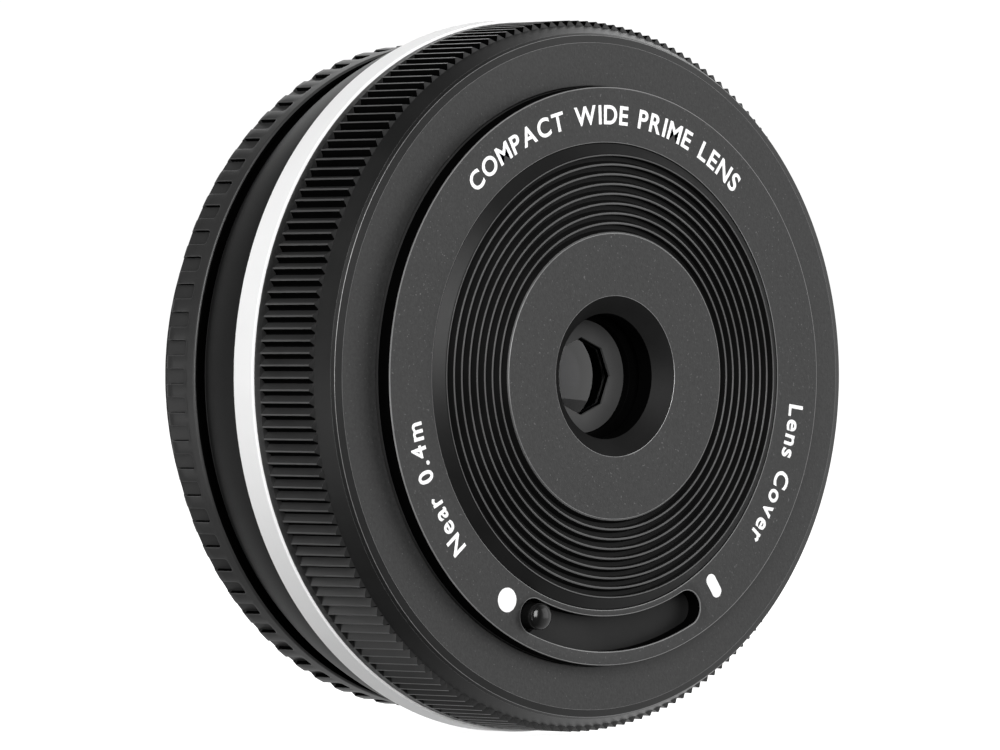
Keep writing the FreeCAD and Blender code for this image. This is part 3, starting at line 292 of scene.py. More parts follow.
def make_barrel():
    """The rear barrel: a curved skin with a small lip at its rear edge and a floor inside."""
    front = (BARREL["radius"], TRIM["back"])
    curve = bulge(front, (BARREL["rear_radius"], BARREL["rear"]), BARREL["curve"], steps=24)
    lip = [
        (27.82, 0.95, 0.03), (27.8, 0.65, 0.06), (27.3, 0.65, 0.05), (27.3, 0.35, 0.05),
        (26.5, 0.35, 0.05),
    ]
    inside = [
        (26.5, 1.35, 0.05), (23.0, 1.35, 0.05), (23.0, 2.5), (27.2, 2.5), (BARREL["inner"], TRIM["back"]),
    ]
    piece = lathe("rear_barrel_skin", soften([*curve, *lip, *inside]))
    finishes = ("satin_black", "painted_shade_black")
    # Painted shade: the lip at the barrel's rear edge is made near black, as the gap by the cap
    mark(piece, finishes, "painted_shade_black", lambda radius, forward, tilt: radius < 27.7 and forward < 0.9)
    return dress(piece, "lens_barrel", "barrel_black", finishes, "rear_barrel")


# ---------------------------------------------------------------------------------------
# Front plate with the lever's slot, ridged cone and disc


def slot_loop(half_width, steps=14, straight=60):
    """The slot's edge as (radius, angle) pairs: its outer half, then its inner half.

    The halves part at the two points where a line from the lens axis just touches the ends.
    """
    circle = LEVER["circle"]
    first = LEVER["start"]
    last = first + LEVER["span"]
    touch = math.degrees(math.asin(half_width / circle))

    def end_point(middle, turn):
        x = circle + half_width * math.cos(math.radians(turn))
        y = half_width * math.sin(math.radians(turn))
        return math.hypot(x, y), middle + math.degrees(math.atan2(y, x))

    def side_points(radius):
        return [(radius, first + LEVER["span"] * step / straight) for step in range(1, straight)]

    outer = [end_point(first, -(90 + touch) * (1 - step / steps)) for step in range(steps + 1)]
    outer += side_points(circle + half_width)
    outer += [end_point(last, (90 + touch) * step / steps) for step in range(steps + 1)]
    inner = [end_point(first, -(90 + touch) - (90 - touch) * step / steps) for step in range(steps + 1)]
    inner += side_points(circle - half_width)
    inner += [end_point(last, 180 - (90 - touch) * step / steps) for step in range(steps + 1)]
    return outer, inner


def plate_side(bm, half, edge_points, rest_angles):
    """One side of the plate's front face: from the slot's edge to the plate's own edge."""
    meeting = half[0][0]
    ring = [bm.verts.new(spot(radius, angle, PLATE["front"])) for radius, angle in half]
    ring += [bm.verts.new(spot(meeting, angle, PLATE["front"])) for angle in rest_angles]
    angles = [angle for _, angle in half] + list(rest_angles)
    rows = [ring]
    for radius, forward in edge_points:
        rows.append([bm.verts.new(spot(radius, angle, forward)) for angle in angles])
    skin(bm, rows)
    return rows[-1]


def slot_walls(bm):
    """The slot's walls, with a small round edge where they meet the plate's face."""
    edge = PLATE["edge"]
    deep = PLATE["front"] - PLATE["back"]
    walls = []
    for extra, drop in ((edge, 0), (edge * 0.3, edge * 0.3), (0, edge), (0, edge * 1.6), (0, deep)):
        outer, inner = slot_loop(LEVER["half_width"] + extra)
        loop = outer + inner[::-1][1:-1]
        walls.append([bm.verts.new(spot(radius, angle, PLATE["front"] - drop)) for radius, angle in loop])
    skin(bm, walls)


def make_plate(rest_steps=300):
    """The name plate: a raised ring with the curved slot that the lever runs in."""
    bm = bmesh.new()
    edge = PLATE["edge"]
    outer, inner = slot_loop(LEVER["half_width"] + edge)
    gap = 360 - (outer[-1][1] - outer[0][1])
    rest = [outer[-1][1] + gap * step / rest_steps for step in range(1, rest_steps)]
    front = PLATE["front"]
    back = PLATE["back"]
    wide = PLATE["outer"]
    outer_edge = [
        (wide - 0.16, front), (wide - edge, front), (wide - 0.03, front - 0.025), (wide, front - edge),
        (wide, front - 0.16), (wide, back),
    ]
    tight = PLATE["inner"]
    inner_edge = [
        (tight + 0.12, front), (tight + 0.06, front), (tight + 0.015, front - 0.015),
        (tight, front - 0.06), (tight, front - 0.12), (tight, back),
    ]
    outer_back = plate_side(bm, outer, outer_edge, rest)
    inner_back = plate_side(bm, inner, inner_edge, rest)
    slot_walls(bm)
    for half, far in zip(slot_loop(LEVER["half_width"]), (outer_back, inner_back)):
        by_slot = [bm.verts.new(spot(radius, angle, back)) for radius, angle in half]
        by_slot += [bm.verts.new(spot(half[0][0], angle, back)) for angle in rest]
        skin(bm, [by_slot, far])
    piece = finish_mesh("front_plate", bm)
    finishes = ("blasted_black", "painted_edge_highlight", "painted_shade_black")
    # Painted highlight on the round edges of the plate's face
    mark(piece, finishes, "painted_edge_highlight", lambda radius, forward, tilt: forward > 20.35 and 0.2 < tilt < 0.98)
    # Painted shade on the side walls of the slot and of the plate
    mark(piece, finishes, "painted_shade_black", lambda radius, forward, tilt: tilt < 0.2)
    return dress(piece, "lens_barrel", "front_black", finishes, "name_plate")


def crest_place(index):
    """The (radius, forward) place of a ridge's crest, counted from the outermost."""
    share = index / RIDGES["count"]
    radius = RIDGES["outer"] + (RIDGES["inner"] - RIDGES["outer"]) * share
    return radius, RIDGES["outer_front"] + (RIDGES["inner_front"] - RIDGES["outer_front"]) * share


def make_ridges():
    """The cone of fine ridges between the plate and the disc."""
    small = RIDGES["round"]
    deep = RIDGES["depth"]
    outline = [(RIDGES["foot"], 20.43, 0.03), (RIDGES["outer"] + 0.12, 21.07, 0.04)]
    crests = [crest_place(index) for index in range(RIDGES["count"] + 1)]
    for index, (crest, front) in enumerate(crests):
        if index:
            outline.append((crest + 0.11, front - small, 0.04))
        outline.append((crest, front, small))
        if index < RIDGES["count"]:
            outline.append((crest - 0.09, front - small, 0.03))
            outline.append((crest - 0.16, front - deep, 0.04))
            outline.append((crest - 0.52, front - deep, 0.04))
    inside = RIDGES["inner"] - 0.2
    back = RIDGES["back"]
    outline += [(inside, RIDGES["inner_front"] - 0.1), (inside, back), (RIDGES["foot"], back)]
    piece = lathe("ridged_cone", soften(outline, steps=2), 360, sharp=40)
    finishes = ("deep_black", "painted_crest_highlight", "wall_black")
    wall = RIDGES["outer"] + 0.08
    # Painted highlight along the ridges' crests
    mark(piece, finishes, "painted_crest_highlight", near(crests, 0.075))
    mark(piece, finishes, "wall_black", lambda radius, forward, tilt: radius > wall)
    return dress(piece, "lens_barrel", "front_black", finishes, "ribbed_baffle")


def paint_mouth_highlight(piece, finishes):
    """Paints a highlight on the lower right of the bore's edge, where the light catches it."""
    edge = finishes.index("painted_edge_highlight")
    for face in piece.data.polygons:
        radius, _, angle = place_of(face)
        if face.material_index == edge and radius < DISC["mouth"] + 0.4 and -78 < angle < 12:
            face.material_index = finishes.index("painted_gleam_highlight")


def make_disc():
    """The centre disc with its chamfered hole."""
    outline = [
        (DISC["radius"], DISC["seat"]), (DISC["radius"], DISC["front"], 0.07),
        (DISC["mouth"], DISC["front"], 0.05), (DISC["bore"], DISC["throat"], 0.05),
        (DISC["bore"], DISC["back"], 0.05), (DISC["neck"], DISC["back"]), (DISC["neck"], DISC["seat"]),
    ]
    piece = lathe("centre_face_disc", soften(outline))
    finishes = ("blasted_black", "painted_edge_highlight", "chamfer_black", "painted_shade_black", "painted_gleam_highlight")
    edges = [(DISC["radius"], DISC["front"]), (DISC["mouth"], DISC["front"])]
    # Painted highlight on the disc's round edges
    mark(piece, finishes, "painted_edge_highlight", near(edges, 0.06))
    mark(piece, finishes, "chamfer_black", lambda radius, forward, tilt: radius < DISC["mouth"] - 0.05)
    # Painted shade: the bore's wall is made near black
    mark(piece, finishes, "painted_shade_black", lambda radius, forward, tilt: radius < DISC["bore"] + 0.05)
    # A brighter painted highlight on the lower right of the bore's edge
    paint_mouth_highlight(piece, finishes)
    return dress(piece, "lens_barrel", "front_black", finishes, "centre_disc")


def make_stop():
    """The fixed aperture: an eight-sided hole, a corner at the top, in the floor of a shallow well."""
    bm = bmesh.new()
    angles = even(96)
    flat = STOP["corner"] * math.cos(math.radians(22.5))
    back = STOP["back"]
    floor = STOP["floor"]

    def hole(extra, forward):
        """The hole's edge, with as many points as the rings round it."""
        row = []
        for angle in angles:
            off = math.radians((angle % 45) - 22.5)
            row.append(bm.verts.new(spot(flat / math.cos(off) + extra, angle, forward)))
        return row

    outline = [
        (STOP["lap"], floor), (STOP["well"], floor, 0.04), (STOP["well"], STOP["brim"], 0.05),
        (STOP["outer"], STOP["brim"], 0.05), (STOP["outer"], STOP["brim_back"]),
        (STOP["cup"], STOP["brim_back"]), (STOP["cup"], back, 0.05), (STOP["lap"], back),
    ]
    rows = [hole(0, back), hole(0, floor - 0.05), hole(0.02, floor - 0.01), hole(0.06, floor)]
    for radius, forward in soften(outline, closed=False):
        rows.append([bm.verts.new(spot(radius, angle, forward)) for angle in angles])
    rows.append(rows[0])
    skin(bm, rows)
    piece = finish_mesh("stop_plate_well", bm)
    finishes = ("stop_finish", "painted_shade_black")
    # Painted shade: the well's wall and the brim round it are made near black
    mark(piece, finishes, "painted_shade_black", lambda radius, forward, tilt: radius > STOP["well"] - 0.05)
    return dress(piece, "lens_barrel", "stop_grey", finishes, "stop_plate")


def make_lever():
    """The lever's pin, which stands out of the slot."""
    thin = LEVER["radius"]
    foot = LEVER["foot"]
    dome_start = LEVER["dome"]
    rise = LEVER["tip"] - dome_start
    stem = [(0, LEVER["foot_back"]), (foot, LEVER["foot_back"], 0.1), (foot, 19.3, 0.12), (thin, 19.5, 0.15),
            (thin, dome_start - 0.1)]
    turns = [math.radians(90 * step / 10) for step in range(10)]
    tip = [(thin * math.cos(turn), dome_start + rise * math.sin(turn)) for turn in turns]
    points = soften([*stem, *tip, (0, LEVER["tip"])], closed=False, steps=6)
    piece = lathe_at("lever_knob", points, LEVER["circle"], LEVER["pin_angle"])
    return dress(piece, "cover_ring", "lever_black", "lever_satin", "lever_pin")


# ---------------------------------------------------------------------------------------
# Rear cap


def notch_loop(grow, steps=5):
    """A notch's edge as (along the rim, forward) pairs, from rear left round to rear right."""
    half = CAP["notch"] / 2 + grow
    front = CAP["front"] + grow
    corner = 0.3 + grow
    left = [(-half, CAP["back"]), (-half, CAP["level"]), (-half, -2.5), (-half, front - corner)]
    for step in range(1, steps + 1):
        turn = math.radians(90 * step / steps)
        left.append((-half + corner - corner * math.cos(turn), front - corner + corner * math.sin(turn)))
    return left + [(-x, forward) for x, forward in left[::-1]]


def crest_radius(forward, reach=0.55, drop=0.42):
    """The ribs' outer radius, which falls away over their last stretch at the rear."""
    fall = max(0.0, (CAP["back"] + reach) - forward) / reach
    return CAP["radius"] - drop * (1 - math.sqrt(max(0.0, 1 - fall ** 2 * 0.97)))


def rim_angle(middle, x):
    """The angle of a point at a distance along the rim from the middle of a notch."""
    return middle + math.degrees(x / CAP["radius"])


def rim_vertex(bm, middle, x, forward, depth):
    """A vertex of a notch: its floor is level, and the rest follows the rib's crest."""
    at_floor = depth >= CAP["depth"]
    radius = CAP["radius"] if at_floor else crest_radius(forward)
    return bm.verts.new(spot(radius - depth, rim_angle(middle, x), forward))


def inner_rim(bm, middle, x):
    """A vertex on the inner edge of the rim's rear face."""
    return bm.verts.new(spot(CAP["inner"], rim_angle(middle, x), CAP["back"]))


def rib_outline(loop, half_pitch, top, side_points=5):
    """Where the rows round a notch end: half-way along the ribs, or at the plain band in front."""
    far = []
    for index, (x, forward) in enumerate(loop):
        on_left = index < len(loop) / 2
        from_rear = index if on_left else len(loop) - 1 - index
        if from_rear > side_points:
            far.append((x, top))
            continue
        side = -half_pitch if on_left else half_pitch
        far.append((side, forward if from_rear < side_points else top))
    return far


def rim_period(bm, middle, bevel=0.07):
    """One notch of the rim with half a rib on each side of it."""
    layers = ((0.0, CAP["depth"]), (0.0, bevel), (0.02, 0.02), (bevel, 0.0))
    rows = []
    for grow, depth in layers:
        rows.append([rim_vertex(bm, middle, x, forward, depth) for x, forward in notch_loop(grow)])
    half_pitch = math.pi * CAP["radius"] / CAP["ribs"]
    half_notch = CAP["notch"] / 2
    top = CAP["front"] + CAP["band"]
    far = rib_outline(notch_loop(bevel), half_pitch, top)
    rows.append([rim_vertex(bm, middle, x, forward, 0) for x, forward in far])
    skin(bm, rows, closed_row=False)
    floor = rows[0]
    count = len(floor)
    for index in range(count // 2 - 1):
        corners = [floor[index], floor[index + 1], floor[count - 2 - index], floor[count - 1 - index]]
        bm.faces.new(corners)
    for end, side in ((0, -1), (-1, 1)):
        rear = [row[end] for row in rows]
        rear += [inner_rim(bm, middle, side * half_pitch), inner_rim(bm, middle, side * half_notch)]
        bm.faces.new(rear)
    far_side = inner_rim(bm, middle, half_notch)
    bm.faces.new([floor[0], floor[-1], far_side, inner_rim(bm, middle, -half_notch)])
    return [x for x, forward in far if abs(forward - top) < TINY]


def cap_lug(bm, middle, spread=19, steps=8):
    """A lug inside the cap, which hooks behind one of the mount's own lugs."""
    inner = 22.05
    outer = CAP["throat"] + 0.1
    section = soften([(outer, -0.45), (inner, -0.45, 0.1), (inner, -1.95, 0.1), (outer, -1.95)])
    rows = []
    for step in range(-steps, steps + 1):
        angle = middle + spread * step / steps
        rows.append([bm.verts.new(spot(radius, angle, forward)) for radius, forward in section])
    skin(bm, rows)
    bm.faces.new(rows[0])
    bm.faces.new(rows[-1][::-1])


def cap_lines():
    """The cap's outlines from the rim to the axis: its hollow front and its stepped back."""
    rim = CAP["rim"]
    lip = CAP["lip"]
    throat = CAP["throat"]
    floor = CAP["floor"]
    front_line = [
        (CAP["radius"], CAP["front"] + CAP["band"]), (CAP["radius"], lip, 0.2), (rim, lip, 0.08),
        (rim, -0.8), (26.6, -0.8), (26.6, -0.1, 0.1), (throat, -0.1, 0.1), (throat, -7.2),
        (22.0, floor, 0.3), (CAP["middle"], floor), (0.0, floor),
    ]
    boss = CAP["boss"]
    stand = CAP["stand"]
    dish = CAP["dish"]
    back_line = [
        (CAP["inner"], CAP["back"]), (boss, CAP["back"], 0.25), (boss, -7.9, 0.4), (23.0, stand, 0.4),
        (17.0, stand, 0.1), (16.9, dish, 0.15), (CAP["middle"], dish), (0.0, dish),
    ]
    return front_line, back_line


def in_notch(low, high):
    """A test for mark: whether a face lies between two radii, in the notches' own stretch."""
    return lambda radius, forward, tilt: low < radius < high and CAP["level"] < forward < -0.9


def make_cap():
    """The rear cap: notched rim, plain front edge, stepped boss and hollow inside."""
    bm = bmesh.new()
    pitch = 360 / CAP["ribs"]
    front_angles = []
    back_angles = []
    half_notch = math.degrees(CAP["notch"] / 2 / CAP["radius"])
    for index in range(CAP["ribs"]):
        middle = index * pitch
        along = rim_period(bm, middle)
        front_angles += [rim_angle(middle, x) for x in sorted(along)[:-1]]
        back_angles += [middle - half_notch, middle + half_notch, middle + pitch / 2]
    front_line, back_line = cap_lines()
    turn_outline(bm, soften(front_line, closed=False), front_angles, closed=False)
    turn_outline(bm, soften(back_line, closed=False), back_angles, closed=False)
    for middle in (30, 150, 270):
        cap_lug(bm, middle)
    piece = finish_mesh("rear_cap_shell", bm, 35)
    finishes = ("moulded_plastic", "painted_shade_black", "painted_crest_highlight")
    # Painted shade in the groove between the cap's rim and the barrel
    mark(piece, finishes, "painted_shade_black", lambda radius, forward, tilt: radius < 28.4 and forward > -0.9)
    # Painted shade in the notches
    mark(piece, finishes, "painted_shade_black", in_notch(28.18, 28.49))
    # Painted highlight on the notches' top edges
    mark(piece, finishes, "painted_crest_highlight", in_notch(28.49, 28.5545))
    return dress(piece, "rear_cap", "cap_plastic", finishes, "rear_cap")


# ---------------------------------------------------------------------------------------
# Front glass


def dome(edge_radius, edge_forward, rise, steps=14):
    """Points of a lens surface from its edge to the axis; a negative rise sinks in."""
    points = []
    for step in range(steps + 1):
        radius = edge_radius * (1 - step / steps)
        points.append((radius, edge_forward + rise * (1 - (radius / edge_radius) ** 2)))
    return points


def make_front_glass():
    """The first element, which shows through the stop plate's hole."""
    front = dome(GLASS["radius"], GLASS["front"], GLASS["front_rise"])
    back = dome(GLASS["radius"], GLASS["back"], GLASS["back_rise"])
    piece = lathe("front_glass", [*front[::-1], *back], 180, closed=False, sharp=50)
    return dress(piece, "lens_barrel", "coated_glass", "coated_glass", "first_element")


# ---------------------------------------------------------------------------------------
# Markings, all generic


def letter_shape(curve, letter):
    """One letter's mesh with its width and its middle, in the font's units."""
    curve.body = letter
    holder = bpy.data.objects.new(curve.name, curve)
    bpy.context.scene.collection.objects.link(holder)
    bpy.context.view_layer.update()
    mesh = bpy.data.meshes.new_from_object(holder.evaluated_get(bpy.context.evaluated_depsgraph_get()))
    bpy.data.objects.remove(holder)
    low = min((v.co.x for v in mesh.vertices), default=0)
    high = max((v.co.x for v in mesh.vertices), default=LETTERS["space"])
    return mesh, high - low + LETTERS["gap"], (low + high) / 2


def bend_letter(mesh, middle, angle):
    """Moves a letter's mesh onto the plate, upright at an angle round the lens axis."""
    scale = LETTERS["height"] / LETTERS["capital"]
    base = LETTERS["circle"] - LETTERS["height"] / 2
    turn = Matrix.Rotation(math.radians(angle - 90), 3, "Z")
    for vertex in mesh.vertices:
        flat = turn @ Vector(((vertex.co.x - middle) * scale, base + vertex.co.y * scale, 0))
        forward = PLATE["front"] + LETTERS["lift"] + vertex.co.z * LETTERS["thickness"]
        vertex.co = Vector((flat.x * MM, -forward * MM, flat.y * MM))


def arc_text(name, words, start, end):
    """Letters along a circle on the plate, from the start angle clockwise to the end angle."""
    curve = bpy.data.curves.new(name, "FONT")
    curve.size = 1
    curve.offset = 0.022
    curve.extrude = 0.012
    letters = [letter_shape(curve, letter) for letter in words]
    total = sum(width for _, width, _ in letters)
    bm = bmesh.new()
    place = 0
    for mesh, width, middle in letters:
        bend_letter(mesh, middle, start + (end - start) * ((place + width / 2) / total))
        place += width
        bm.from_mesh(mesh)
    mesh = bpy.data.meshes.new(name)
    bmesh.ops.recalc_face_normals(bm, faces=bm.faces)
    bm.to_mesh(mesh)
    bm.free()
    piece = bpy.data.objects.new(name, mesh)
    bpy.context.scene.collection.objects.link(piece)
    return dress(piece, "lens_barrel", "front_black", "white_paint")


def paint_patch(name, outline, top=0.018, bottom=0.002):
    """A thin painted shape on the plate, from (x, y) points and heights above the plate in mm."""
    bm = bmesh.new()
    for_front = [bm.verts.new((x * MM, -(PLATE["front"] + top) * MM, y * MM)) for x, y in outline]
    for_back = [bm.verts.new((x * MM, -(PLATE["front"] + bottom) * MM, y * MM)) for x, y in outline]
    bm.faces.new(for_front)
    bm.faces.new(for_back[::-1])
    skin(bm, [for_front, for_back])
    piece = finish_mesh(name, bm)
    return dress(piece, "lens_barrel", "front_black", "white_paint")


def make_open_mark():
    """The round mark, at the end of the slot where the lever opens the cover."""
    turn = math.radians(MARK["open"])
    centre = (MARK["circle"] * math.cos(turn), MARK["circle"] * math.sin(turn))
    radius = MARK["radius"]
    turns = [math.radians(angle) for angle in even(MARK["points"])]
    outline = [(centre[0] + radius * math.cos(a), centre[1] + radius * math.sin(a)) for a in turns]
    paint_patch("open_mark", outline)


def make_closed_mark():
    """The bar with round ends, at the end of the slot where the lever closes the cover."""
    turn = math.radians(MARK["closed"])
    out = Vector((math.cos(turn), math.sin(turn)))
    along = Vector((-out.y, out.x))
    half = MARK["bar_half"]
    points = []
    for index in range(MARK["points"]):
        a = math.radians(-90 + 360 * index / MARK["points"] + 180 / MARK["points"])
        shift = half if math.cos(a) > 0 else -half
        points.append(out * (MARK["bar_circle"] + shift + half * math.cos(a)) + along * half * math.sin(a))
    paint_patch("closed_mark", [(p.x, p.y) for p in points])


def make_marks():
    """The marks at both ends of the slot, and generic words."""
    make_open_mark()
    make_closed_mark()
    arc_text("plate_words_top", "COMPACT WIDE PRIME LENS", 134.4, 47.0)
    arc_text("plate_words_right", "Lens Cover", -6.2, -40.1)
    arc_text("plate_words_left", "Near 0.4m", -138.2, -170.5)


# ---------------------------------------------------------------------------------------
# Finishes


def node(tree, kind, **settings):
    """A new node with some of its inputs or settings given."""
    made = tree.nodes.new(kind)
    for key, value in settings.items():
        if key in made.inputs:
            made.inputs[key].default_value = value
        else:
            setattr(made, key, value)
    return made


def noise(tree, scale, detail=4.0):
    """Noise on the piece's own coordinates."""
    place = tree.nodes.get("place") or node(tree, "ShaderNodeTexCoord", name="place")
    made = tree.nodes.new("ShaderNodeTexNoise")
    made.inputs["Scale"].default_value = scale
    made.inputs["Detail"].default_value = detail
    tree.links.new(place.outputs["Object"], made.inputs["Vector"])
    return made.outputs["Fac"]


def blend_colours(tree, factor, low, high, start=0.35, end=0.65):
    """A colour that goes from low to high as the factor goes from start to end."""
    ramp = tree.nodes.new("ShaderNodeValToRGB")
    ramp.color_ramp.elements[0].position = start
    ramp.color_ramp.elements[1].position = end
    ramp.color_ramp.elements[0].color = (*low, 1)
    ramp.color_ramp.elements[1].color = (*high, 1)
    tree.links.new(factor, ramp.inputs["Fac"])
    return ramp.outputs["Color"]


def blank(name):
    """A new material and its main shader."""
    material = bpy.data.materials.new("look_" + name)
    material.use_nodes = True
    return material, material.node_tree, material.node_tree.nodes["Principled BSDF"]


def rough(tree, shader, factor, low, high):
    """Lets the roughness wander between two values."""
    spread = tree.nodes.new("ShaderNodeMapRange")
    spread.inputs["To Min"].default_value = low
    spread.inputs["To Max"].default_value = high
    tree.links.new(factor, spread.inputs["Value"])
    tree.links.new(spread.outputs["Result"], shader.inputs["Roughness"])


def bump(tree, shader, factor, distance, strength=1.0):
    """Fine relief, whose height in metres is the distance."""
    made = tree.nodes.new("ShaderNodeBump")
    made.inputs["Strength"].default_value = strength
    made.inputs["Distance"].default_value = distance
    tree.links.new(factor, made.inputs["Height"])
    tree.links.new(made.outputs["Normal"], shader.inputs["Normal"])


def coloured(name, low, high, roughness, grain=4000, bumps=0.00001, metallic=0.0, blotch=250, specular=0.5):
    """A solid finish: blotchy colour, grain in its roughness, and fine bumps."""
    material, tree, shader = blank(name)
    tree.links.new(blend_colours(tree, noise(tree, blotch), low, high), shader.inputs["Base Color"])
    rough(tree, shader, noise(tree, grain), *roughness)
    bump(tree, shader, noise(tree, grain * 1.3), bumps)
    shader.inputs["Metallic"].default_value = metallic
    shader.inputs["Specular IOR Level"].default_value = specular
    return material


def grey(level):
    """A grey as a colour."""
    return (level, level, level)


# The mix node's sockets for colours, which share their names with those for other types
FIRST_COLOUR = 6
SECOND_COLOUR = 7
MIXED_COLOUR = 2


def blasted(name, low, high, speck, roughness, bumps):
    """Sandblasted, black-anodised metal: fine grain with scattered bright specks."""
    material, tree, shader = blank(name)
    base = blend_colours(tree, noise(tree, 3600, 3), low, high, 0.3, 0.7)
    specks = blend_colours(tree, noise(tree, 5200, 1), grey(0), grey(1), 0.70, 0.78)
    mix = tree.nodes.new("ShaderNodeMix")
    mix.data_type = "RGBA"
    tree.links.new(specks, mix.inputs["Factor"])
    tree.links.new(base, mix.inputs[FIRST_COLOUR])
    mix.inputs[SECOND_COLOUR].default_value = (*speck, 1)
    tree.links.new(mix.outputs[MIXED_COLOUR], shader.inputs["Base Color"])
    rough(tree, shader, noise(tree, 3000), *roughness)
    bump(tree, shader, noise(tree, 5600, 2), bumps)
    return material


def turned_metal(name, low, high, roughness, rings=9000):
    """Metal with the fine circular marks of a lathe round the lens axis."""
    material, tree, shader = blank(name)
    tree.links.new(blend_colours(tree, noise(tree, 300), low, high), shader.inputs["Base Color"])
    place = tree.nodes.get("place")
    waves = tree.nodes.new("ShaderNodeTexWave")
    waves.wave_type = "RINGS"
    waves.rings_direction = "Y"
    waves.inputs["Scale"].default_value = rings
    waves.inputs["Distortion"].default_value = 0.6
    tree.links.new(place.outputs["Object"], waves.inputs["Vector"])
    rough(tree, shader, noise(tree, 1500), *roughness)
    bump(tree, shader, waves.outputs["Fac"], 0.000002, 0.4)
    shader.inputs["Metallic"].default_value = 1.0
    return material


def glass(name):
    """Glass with a dark tint that wanders a little, as painted shade: not much light comes back out of a
    lens.
    """
    material, tree, shader = blank(name)
    shade_tint = blend_colours(tree, noise(tree, 120), (0.10, 0.11, 0.13), (0.13, 0.12, 0.13))
    tree.links.new(shade_tint, shader.inputs["Base Color"])
    rough(tree, shader, noise(tree, 900), 0.0, 0.015)
    shader.inputs["Transmission Weight"].default_value = 1.0
    shader.inputs["IOR"].default_value = 1.5
    shader.inputs["Specular IOR Level"].default_value = 0.12
    return material


def make_finishes():
    """Every finish by name: its two colours, its roughness, then its grain and its bumps in metres."""
    made = [
        blasted("blasted_black", grey(0.013), grey(0.022), grey(0.09), (0.44, 0.56), 0.000014),
        coloured("satin_black", grey(0.007), grey(0.009), (0.44, 0.52), 5000, 0.000002, specular=0.35),
        coloured("grip_black", grey(0.007), grey(0.0095), (0.34, 0.42), 5000, 0.000003, specular=0.42),
        coloured("deep_black", grey(0.004), grey(0.006), (0.45, 0.55), 5000, 0.000003, specular=0.12),
        # Painted highlight: a light grey for round edges, standing in for the light that they catch
        coloured("painted_edge_highlight", grey(0.17), grey(0.21), (0.30, 0.38), 5000, 0.000002, metallic=0.3),
        # Painted highlight: a lighter grey still, for the stretch of edge where the light catches most
        coloured("painted_gleam_highlight", grey(0.32), grey(0.38), (0.26, 0.34), 5000, 0.000002, metallic=0.3),
        # Painted highlight: a light grey for crests and rib edges, standing in for light along them
        coloured("painted_crest_highlight", grey(0.055), grey(0.068), (0.28, 0.36), 5000, 0.000002),
        # Painted shade: near black for walls, gaps and hollows where the light does not reach
        coloured("painted_shade_black", grey(0.0006), grey(0.001), (0.55, 0.65), 5000, 0.000002, specular=0.02),
        # Painted light: the knurl teeth's gentle sides, lighter than the grip's own black as if lit
        coloured("painted_lit_knurl", grey(0.019), grey(0.024), (0.36, 0.44), 5000, 0.000003),
        coloured("wall_black", grey(0.005), grey(0.007), (0.38, 0.46), 5000, 0.000003, specular=0.18),
        coloured("chamfer_black", grey(0.008), grey(0.011), (0.45, 0.55), 5000, 0.000003, specular=0.06),
        coloured("lever_satin", grey(0.004), grey(0.006), (0.14, 0.20), 3000, 0.000002),
        coloured("satin_silver", grey(0.86), grey(0.88), (0.40, 0.46), 4000, 0.000002),
        coloured("moulded_plastic", grey(0.022), grey(0.028), (0.40, 0.50), 4500, 0.000006),
        coloured("white_paint", grey(0.86), grey(0.92), (0.45, 0.6), 4000, 0.000003),
        coloured("stop_finish", grey(0.032), grey(0.038), (0.5, 0.6), 4000, 0.000002),
        turned_metal("bright_mount", grey(0.62), grey(0.72), (0.16, 0.28)),
        turned_metal("plated_steel", grey(0.42), grey(0.52), (0.25, 0.38)),
        coloured("blade_steel", grey(0.007), grey(0.010), (0.4, 0.5), 3000, 0.000003, specular=0.22),
        coloured("cell_finish", grey(0.012), grey(0.017), (0.4, 0.55), 4000, 0.000004),
        coloured("chassis_finish", grey(0.022), grey(0.03), (0.45, 0.6), 3500, 0.000006),
        coloured("copper_finish", (0.72, 0.30, 0.16), (0.85, 0.40, 0.22), (0.25, 0.4), 6000, 0.00001, 1.0),
        coloured("nickel_finish", grey(0.5), grey(0.62), (0.2, 0.35), 2500, 0.000003, 1.0),
        coloured("gold_finish", (0.95, 0.68, 0.28), (1.0, 0.76, 0.36), (0.16, 0.28), 3000, 0.000002, 1.0),
        coloured("board_finish", (0.01, 0.09, 0.035), (0.015, 0.13, 0.05), (0.3, 0.45), 2500, 0.000004),
        coloured("chip_finish", grey(0.018), grey(0.028), (0.5, 0.65), 5000, 0.000005),
        coloured("flex_finish", (0.42, 0.17, 0.03), (0.55, 0.24, 0.05), (0.3, 0.45), 2500, 0.000003),
        glass("coated_glass"),
    ]
    return {material.name.removeprefix("look_"): material for material in made}


FINISHES = make_finishes()
SLOT_FINISH = {
    "front_black": "blasted_black", "silver_trim": "satin_silver", "barrel_black": "satin_black",
    "cap_plastic": "moulded_plastic", "mount_chrome": "bright_mount", "screw_steel": "plated_steel",
    "lever_black": "lever_satin", "stop_grey": "stop_finish", "cover_steel": "blade_steel",
    "coated_glass": "coated_glass", "cell_black": "cell_finish", "chassis_plastic": "chassis_finish",
    "copper_wire": "copper_finish", "magnet_nickel": "nickel_finish", "contact_gold": "gold_finish",
    "board_green": "board_finish", "chip_black": "chip_finish", "flex_amber": "flex_finish",
}


def place_of(face):
    """A face's radius, its forward place in mm and its angle in degrees round the lens axis."""
    radius = math.hypot(face.center.x, face.center.z) / MM
    return radius, -face.center.y / MM, math.degrees(math.atan2(face.center.z, face.center.x))


def mark(piece, finishes, name, chosen):
    """Gives the faces for which chosen(radius, forward, tilt) holds the named one of the finishes.

    The tilt is 1 on a face that looks forward, and 0 on one that looks away from the lens axis.
    """
    for face in piece.data.polygons:
        radius, forward, _ = place_of(face)
        if chosen(radius, forward, abs(face.normal.y)):
            face.material_index = finishes.index(name)


